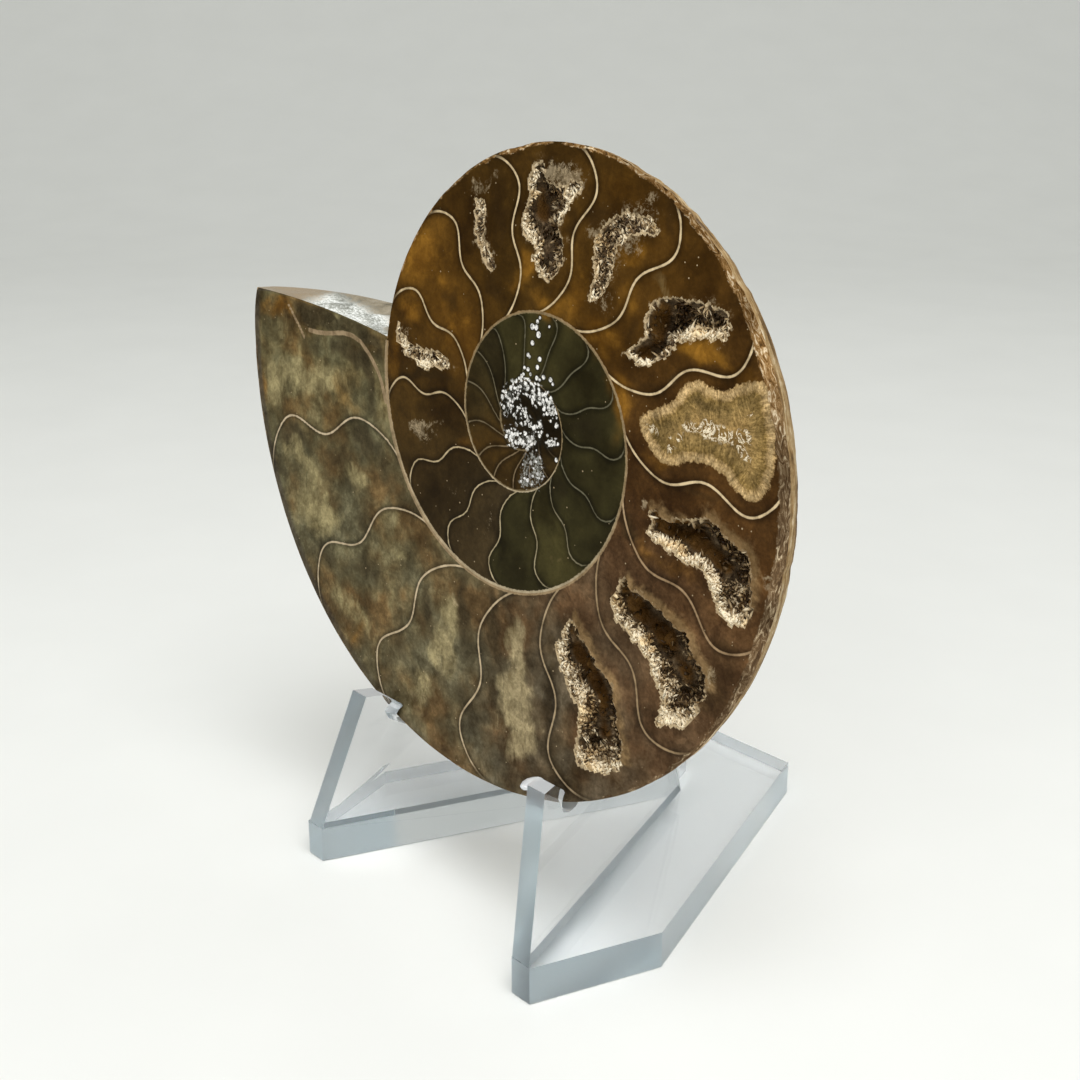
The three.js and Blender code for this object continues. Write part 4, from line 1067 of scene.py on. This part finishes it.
def druse_crystal():
    """Cream to brown crystals, each its own tone, with painted light and shade: paler in the mats and near the cut
    edge, darker in the caves, under the upper edges and deep down.
    """
    r = Recipe("druse crystal")
    # Painted light: crystals in the mats and near the cut edge are made paler
    pale = r.maths("ADD", r.maths("MULTIPLY", r.field("lit_mat"), 0.5), r.maths("MULTIPLY", r.field("edge"), 0.25))
    tone = r.maths("ADD", r.maths("MULTIPLY", r.field("tone"), 0.7), r.maths("ADD", pale, r.maths("MULTIPLY", r.maths("SUBTRACT", r.noise(1.8), 0.5), 1.5)))
    # Painted shade: crystals in the caves and under the upper edges are made darker
    tone = r.maths("SUBTRACT", tone, r.maths("MULTIPLY", r.field("cave_shade"), 0.35))
    base = r.ramp(tone, (0.18, (0.045, 0.024, 0.009)), (0.42, (0.17, 0.105, 0.045)), (0.64, colour("crystal_cream")), (0.9, colour("white_crystal")))
    # Painted shade: crystals darken with depth below the face
    deep = r.span(r.field("depth"), 0.8, 5.0, 1.0, 0.4)
    yellow = r.span(r.noise(2.6, 2, 0.5), 0.52, 0.64, 0, 0.55)
    base = r.mix(yellow, base, (1, 0.84, 0.56, 1), "MULTIPLY")
    base = r.mix(1.0, base, r.step("CombineColor", {0: deep, 1: r.maths("POWER", deep, 1.2), 2: r.maths("POWER", deep, 1.5)}), "MULTIPLY")
    return r.finish(Base_Color=base, Roughness=0.3, Specular_IOR_Level=0.18)


def outer_shell():
    """Weathered shell: tan and brown layers, pearly patches, and lines of growth."""
    r = Recipe("weathered shell")
    across, turns = r.chart("Chambers")[1], r.chart("Pace")[1]
    sheets = r.grain(r.maths("MULTIPLY", turns, 32), r.maths("DIVIDE", r.field("depth"), 0.8), 6, 0.68, 0.6)
    lines = r.grain(r.maths("MULTIPLY", turns, 130), r.maths("MULTIPLY", across, 6), 5, 0.66, 1.6)
    lumps = r.noise(1.6, 6, 0.7)
    stacked = r.mix(r.span(across, 0.8, 0.92), lines, sheets)
    layers = r.maths("ADD", r.maths("MULTIPLY", lumps, 0.35), r.maths("MULTIPLY", stacked, 0.65))
    patches = r.noise(7, 5, 0.6)
    base = r.ramp(patches, (0.36, (0.11, 0.062, 0.026)), (0.47, (0.27, 0.18, 0.1)), (0.6, colour("shell_band")))
    base = r.mix(1.0, base, r.ramp(layers, (0.3, (0.5, 0.46, 0.42)), (0.5, (1, 1, 1)), (0.7, (1.45, 1.4, 1.35))), "MULTIPLY")
    rim = r.span(r.maths("ADD", across, r.maths("MULTIPLY", r.maths("SUBTRACT", patches, 0.5), 0.3)), 0.84, 0.95, 0, 0.85)
    base = r.mix(rim, base, r.ramp(layers, (0.34, (0.05, 0.026, 0.009)), (0.43, (0.17, 0.095, 0.03)), (0.5, (0.33, 0.205, 0.08)), (0.56, (0.46, 0.33, 0.17)), (0.64, (0.78, 0.66, 0.46))))
    pearl = r.maths("MULTIPLY", r.span(r.noise(4, 6, 0.6, (1, 1.3, 1)), 0.58, 0.68), r.maths("SUBTRACT", 1.0, rim))
    base = r.mix(r.maths("MULTIPLY", pearl, 0.6), base, (0.5, 0.44, 0.36, 1))
    return r.finish(Base_Color=base, Roughness=0.65, Normal=r.bump(layers, 0.0004, 0.9), Specular_IOR_Level=0.12)


def broken_septum():
    """Silvery calcite by the polished face, brightened to near white by painted glints, and pinkish stone behind it."""
    r = Recipe("broken septum")
    radius = r.chart("Face")[0]
    cloudy = r.noise(3.5, 6, 0.66, twist=0.5)
    glint = r.noise(0.4, 5, 0.8)
    stone = r.ramp(cloudy, (0.36, (0.12, 0.1, 0.066)), (0.5, (0.25, 0.21, 0.145)), (0.64, (0.36, 0.31, 0.23)))
    # Painted glints: the fine glint noise lifts the silvery calcite to near white
    silver = r.ramp(r.maths("ADD", r.maths("MULTIPLY", cloudy, 0.45), r.maths("MULTIPLY", glint, 0.55)), (0.42, (0.2, 0.2, 0.17)), (0.49, (0.45, 0.46, 0.42)), (0.56, (0.92, 0.93, 0.9)))
    stray = r.maths("MULTIPLY", r.maths("SUBTRACT", cloudy, 0.5), 7.0)
    limit = r.span(radius, 29.0, 37.0, 2.0, 8.6)
    ragged = r.maths("ADD", stray, r.maths("MULTIPLY", r.maths("SUBTRACT", glint, 0.5), 5.0))
    share = r.span(r.maths("SUBTRACT", r.maths("ADD", r.field("depth"), ragged), limit), -1.5, 0.8, 1, 0)
    share = r.maths("MULTIPLY", share, r.span(r.maths("ADD", radius, ragged), 49.0, 51.5, 1, 0))
    stone = r.mix(r.span(r.maths("ADD", radius, stray), 48.0, 52.0), stone, (0.3, 0.23, 0.15, 1))
    base = r.mix(share, stone, silver)
    return r.finish(Base_Color=base, Roughness=0.3, Normal=r.bump(r.noise(1.2, 5, 0.7), 0.0004, 0.8), Specular_IOR_Level=0.3)


def acrylic(name, roughness, ripple, clearness=1.0):
    """Clear moulded acrylic: light bends and is taken up slightly on its way through."""
    r = Recipe(name)
    uneven = r.bump(r.noise(9, 2, 0.4), 0.0001, ripple)
    surface = r.step("BsdfPrincipled", {
        "Base Color": (0.98, 0.985, 1, 1), "Roughness": roughness, "IOR": 1.49, "Transmission Weight": clearness, "Normal": uneven,
    })
    volume = r.step("VolumeAbsorption", {"Color": colour("acrylic_tint"), "Density": 22.0})
    r.step_output(surface, volume)
    return r.material


def pale_table():
    r = Recipe("pale table")
    base = r.ramp(r.noise(30, 3, 0.5), (0.3, (0.81, 0.815, 0.795)), (0.7, (0.83, 0.835, 0.815)))
    return r.finish(Base_Color=base, Roughness=0.45, Specular_IOR_Level=0.3)


def tint(name, text, default):
    return FloatVectorProperty(name=name, description=text, subtype="COLOR", size=3, min=0, max=1, default=default)


class AMMONITE_PG_crystals(bpy.types.PropertyGroup):
    density: FloatProperty(name="Density", description="Crystals for each square millimetre of hollow", default=18.0, min=1)
    length: FloatProperty(name="Length", description="Usual length of one crystal", default=0.00064, unit="LENGTH", precision=5)
    width: FloatProperty(name="Width", description="Usual width of one crystal", default=0.00028, unit="LENGTH", precision=5)
    seed: IntProperty(name="Seed", description="Starting number of the crystals' arrangement", default=7)


class AMMONITE_PG_stand(bpy.types.PropertyGroup):
    edge: FloatProperty(name="Edge", description="Radius of the stand's rounded edges", default=0.00035, unit="LENGTH", precision=5)
    edge_steps: IntProperty(name="Edge steps", description="Facets across a rounded edge", default=3, min=1)


class AMMONITE_PG_finish(bpy.types.PropertyGroup):
    green_calcite: tint("Green calcite", "Dark filling of the inner whorl", (0.03, 0.025, 0.008))
    dark_calcite: tint("Dark calcite", "Clear deep brown filling", (0.024, 0.013, 0.003))
    khaki_cloud: tint("Khaki cloud", "Pale clouds in the outer chambers", (0.22, 0.183, 0.09))
    beige_cloud: tint("Beige cloud", "Pale columns in the chambers at the bottom", (0.28, 0.225, 0.125))
    amber_glow: tint("Amber glow", "Clear amber by the inner wall", (0.225, 0.104, 0.013))
    lit_edge: tint("Lit edge", "Calcite lit through over a hollow's upper edge", (0.2, 0.128, 0.058))
    vein: tint("Vein", "Last chamber wall and healed crack", (0.27, 0.195, 0.115))
    frosted_calcite: tint("Frosted calcite", "Milky grains near the hollows", (0.3, 0.24, 0.155))
    pocket_border: tint("Pocket border", "Frosty lining of the closed pocket", (0.4, 0.29, 0.145))
    white_crystal: tint("White crystal", "Clearest crystals", (0.9, 0.78, 0.57))
    crystal_cream: tint("Cream crystal", "Usual crystals in the hollows", (0.55, 0.42, 0.25))
    silver_fleck: tint("Silver fleck", "Bright flecks in the core", (0.75, 0.73, 0.72))
    shell_band: tint("Shell band", "Flaky shell along the rim", (0.4, 0.3, 0.19))
    acrylic_tint: tint("Acrylic tint", "Colour that a thick edge of the stand takes on", (0.74, 0.825, 0.86))


class AMMONITE_PG_stage(bpy.types.PropertyGroup):
    camera_place: FloatVectorProperty(name="Camera place", description="Where the camera stands", unit="LENGTH", default=(0.13758, -0.13115, 0.1118))
    camera_down: FloatProperty(name="Camera down", description="How far the camera looks down", subtype="ANGLE", default=math.radians(19.5))
    camera_turn: FloatProperty(name="Camera turn", description="How far round to the right the camera stands", subtype="ANGLE", default=math.radians(47.8))
    camera_lens: FloatProperty(name="Camera lens", description="Focal length, in millimetres on a 36 mm wide sensor", default=49.78)
    key_power: FloatProperty(name="Key power", description="Power of the soft light overhead, in watts", default=3.3)
    fill_power: FloatProperty(name="Fill power", description="Power of the soft light at the front, in watts", default=2.2)
    ambient: FloatProperty(name="Ambient", description="Brightness of the surroundings", default=0.5)


class AMMONITE_OT_fossil(bpy.types.Operator):
    """Build the cut and polished half with its hollows, back and broken end"""

    bl_idname = "ammonite.build_fossil"
    bl_label = "Build fossil"

    def execute(self, context):
        mesh = build_fossil_mesh()
        for material in (polished_calcite(), hollow_wall(), outer_shell(), broken_septum()):
            mesh.materials.append(material)
        new_piece(mesh, ("ammonite_half",))
        return {"FINISHED"}


class AMMONITE_OT_crystals(bpy.types.Operator):
    """Build the crusts of small crystals that line the hollows"""

    bl_idname = "ammonite.build_crystals"
    bl_label = "Build crystals"

    def execute(self, context):
        settings = context.scene.ammonite_crystals
        material = druse_crystal()
        for number, (place, (_, outline)) in enumerate(HOLLOWS.items()):
            x, z = np.asarray(outline).T
            area = abs(x @ np.roll(z, 1) - z @ np.roll(x, 1)) / 2
            rng = np.random.default_rng(settings.seed + number)
            sizes = settings.length * 1000, settings.width * 1000
            mesh = crystal_mesh(f"druse_{place}", outline, int(area * settings.density), *sizes, rng)
            mesh.materials.append(material)
            new_piece(mesh, (f"crystals_{place}",))
        return {"FINISHED"}


class AMMONITE_OT_stand(bpy.types.Operator):
    """Build the clear moulded stand with its rounded edges"""

    bl_idname = "ammonite.build_stand"
    bl_label = "Build stand"

    def execute(self, context):
        settings = context.scene.ammonite_stand
        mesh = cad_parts["display_stand"].data.copy()
        mesh.name = "clear_stand"
        mesh.materials.clear()
        work = bmesh.new()
        work.from_mesh(mesh)
        bmesh.ops.remove_doubles(work, verts=work.verts, dist=1e-6)
        bmesh.ops.dissolve_limit(work, angle_limit=math.radians(1), verts=work.verts, edges=work.edges)
        for face in work.faces:
            narrow = 2 * face.calc_area() / face.calc_perimeter() < 0.005
            side = 0.04 < abs(face.normal.z) < 0.1
            hook = narrow and face.calc_center_median().z > 0.0185
            face.material_index = 0 if not narrow or side else 1 + hook
        work.to_mesh(mesh)
        work.free()
        mesh.materials.append(acrylic("clear acrylic", 0.03, 0.2))
        mesh.materials.append(acrylic("satin acrylic edge", 0.32, 0.4, 0.97))
        # Painted highlight: the hook tips let only about half the light through and show the rest as white
        mesh.materials.append(acrylic("hook tip painted highlight", 0.2, 0.6, 0.55))
        piece = new_piece(mesh, ("display_stand",))
        bevel = piece.modifiers.new("Rounded edges", "BEVEL")
        bevel.width = settings.edge
        bevel.segments = settings.edge_steps
        bevel.limit_method = "ANGLE"
        bevel.angle_limit = math.radians(40)
        return {"FINISHED"}


def area_light(name, place, target, size, power):
    data = bpy.data.lights.new(name, "AREA")
    data.shape = "DISK"
    data.size = size
    data.energy = power
    light = bpy.data.objects.new(name, data)
    light.location = place
    light.rotation_euler = (Vector(target) - Vector(place)).to_track_quat("-Z", "Y").to_euler()
    bpy.context.scene.collection.objects.link(light)


def stage_sheet():
    """A table that curves up into a backdrop behind: one profile carried sideways."""
    bend = np.linspace(0, math.pi / 2, 41)
    depth = np.concatenate([[-1.5], 0.5 + 0.7 * np.sin(bend), [1.2]])
    height = np.concatenate([[0.0], 0.7 * (1 - np.cos(bend)), [1.8]]) - TABLE_GAP
    across = np.array([-1.8, 1.8])[:, None]
    turn = math.radians(47.8)
    x = across * math.cos(turn) - depth * math.sin(turn)
    y = across * math.sin(turn) + depth * math.cos(turn)
    points = np.stack([x, y, height + 0 * x], axis=-1).reshape(-1, 3)
    ids = np.arange(len(points)).reshape(x.shape)
    faces = np.stack([ids[0, :-1], ids[1, :-1], ids[1, 1:], ids[0, 1:]], axis=-1)
    mesh = new_mesh("pale_table", points, [faces])
    mesh.polygons.foreach_set("use_smooth", np.ones(len(mesh.polygons), bool))
    mesh.materials.append(pale_table())
    return mesh


class AMMONITE_OT_stage(bpy.types.Operator):
    """Set the pale table, the soft studio light and the camera"""

    bl_idname = "ammonite.build_stage"
    bl_label = "Build stage"

    def execute(self, context):
        settings = context.scene.ammonite_stage
        table = bpy.data.objects.new("pale_table", stage_sheet())
        context.scene.collection.objects.link(table)
        area_light("light_overhead", (0.22, -0.12, 0.62), (0, 0, 0.04), 0.5, settings.key_power)
        area_light("light_front", (0.35, -0.8, 0.5), (0, 0, 0.05), 0.6, settings.fill_power)
        world = bpy.data.worlds.new("surroundings")
        world.use_nodes = True
        world.node_tree.nodes["Background"].inputs["Color"].default_value = (0.98, 1, 0.955, 1)
        world.node_tree.nodes["Background"].inputs["Strength"].default_value = settings.ambient
        context.scene.world = world
        data = bpy.data.cameras.new("photo_camera")
        data.lens = settings.camera_lens
        data.sensor_width = 36
        camera = bpy.data.objects.new("photo_camera", data)
        camera.location = settings.camera_place
        camera.rotation_euler = (math.pi / 2 - settings.camera_down, 0, settings.camera_turn)
        context.scene.collection.objects.link(camera)
        context.scene.camera = camera
        context.scene.view_settings.view_transform = "Standard"
        context.scene.cycles.blur_glossy = 0
        context.scene.cycles.max_bounces = 32
        context.scene.cycles.glossy_bounces = 24
        context.scene.cycles.transmission_bounces = 24
        return {"FINISHED"}


class AMMONITE_PT_panel(bpy.types.Panel):
    bl_idname = "AMMONITE_PT_panel"
    bl_label = "Polished ammonite half"
    bl_space_type = "VIEW_3D"
    bl_region_type = "UI"
    bl_category = "Ammonite"

    def draw(self, context):
        for group in GROUPS:
            column = self.layout.column(align=True)
            settings = getattr(context.scene, group)
            for name in settings.bl_rna.properties.keys():
                if name not in ("rna_type", "name"):
                    column.prop(settings, name)
        for operator in OPERATORS:
            self.layout.operator(operator.bl_idname)


GROUPS = {
    "ammonite_crystals": AMMONITE_PG_crystals,
    "ammonite_stand": AMMONITE_PG_stand,
    "ammonite_finish": AMMONITE_PG_finish,
    "ammonite_stage": AMMONITE_PG_stage,
}
OPERATORS = (AMMONITE_OT_fossil, AMMONITE_OT_crystals, AMMONITE_OT_stand, AMMONITE_OT_stage)


def register():
    for group in (*GROUPS.values(), *OPERATORS, AMMONITE_PT_panel):
        bpy.utils.register_class(group)
    for name, group in GROUPS.items():
        setattr(bpy.types.Scene, name, PointerProperty(type=group))


def unregister():
    for name in GROUPS:
        delattr(bpy.types.Scene, name)
    for group in (AMMONITE_PT_panel, *OPERATORS, *GROUPS.values()):
        bpy.utils.unregister_class(group)


def main():
    register()
    bpy.ops.ammonite.build_fossil()
    bpy.ops.ammonite.build_crystals()
    bpy.ops.ammonite.build_stand()
    bpy.ops.ammonite.build_stage()


if __name__ == "__main__":
    main()
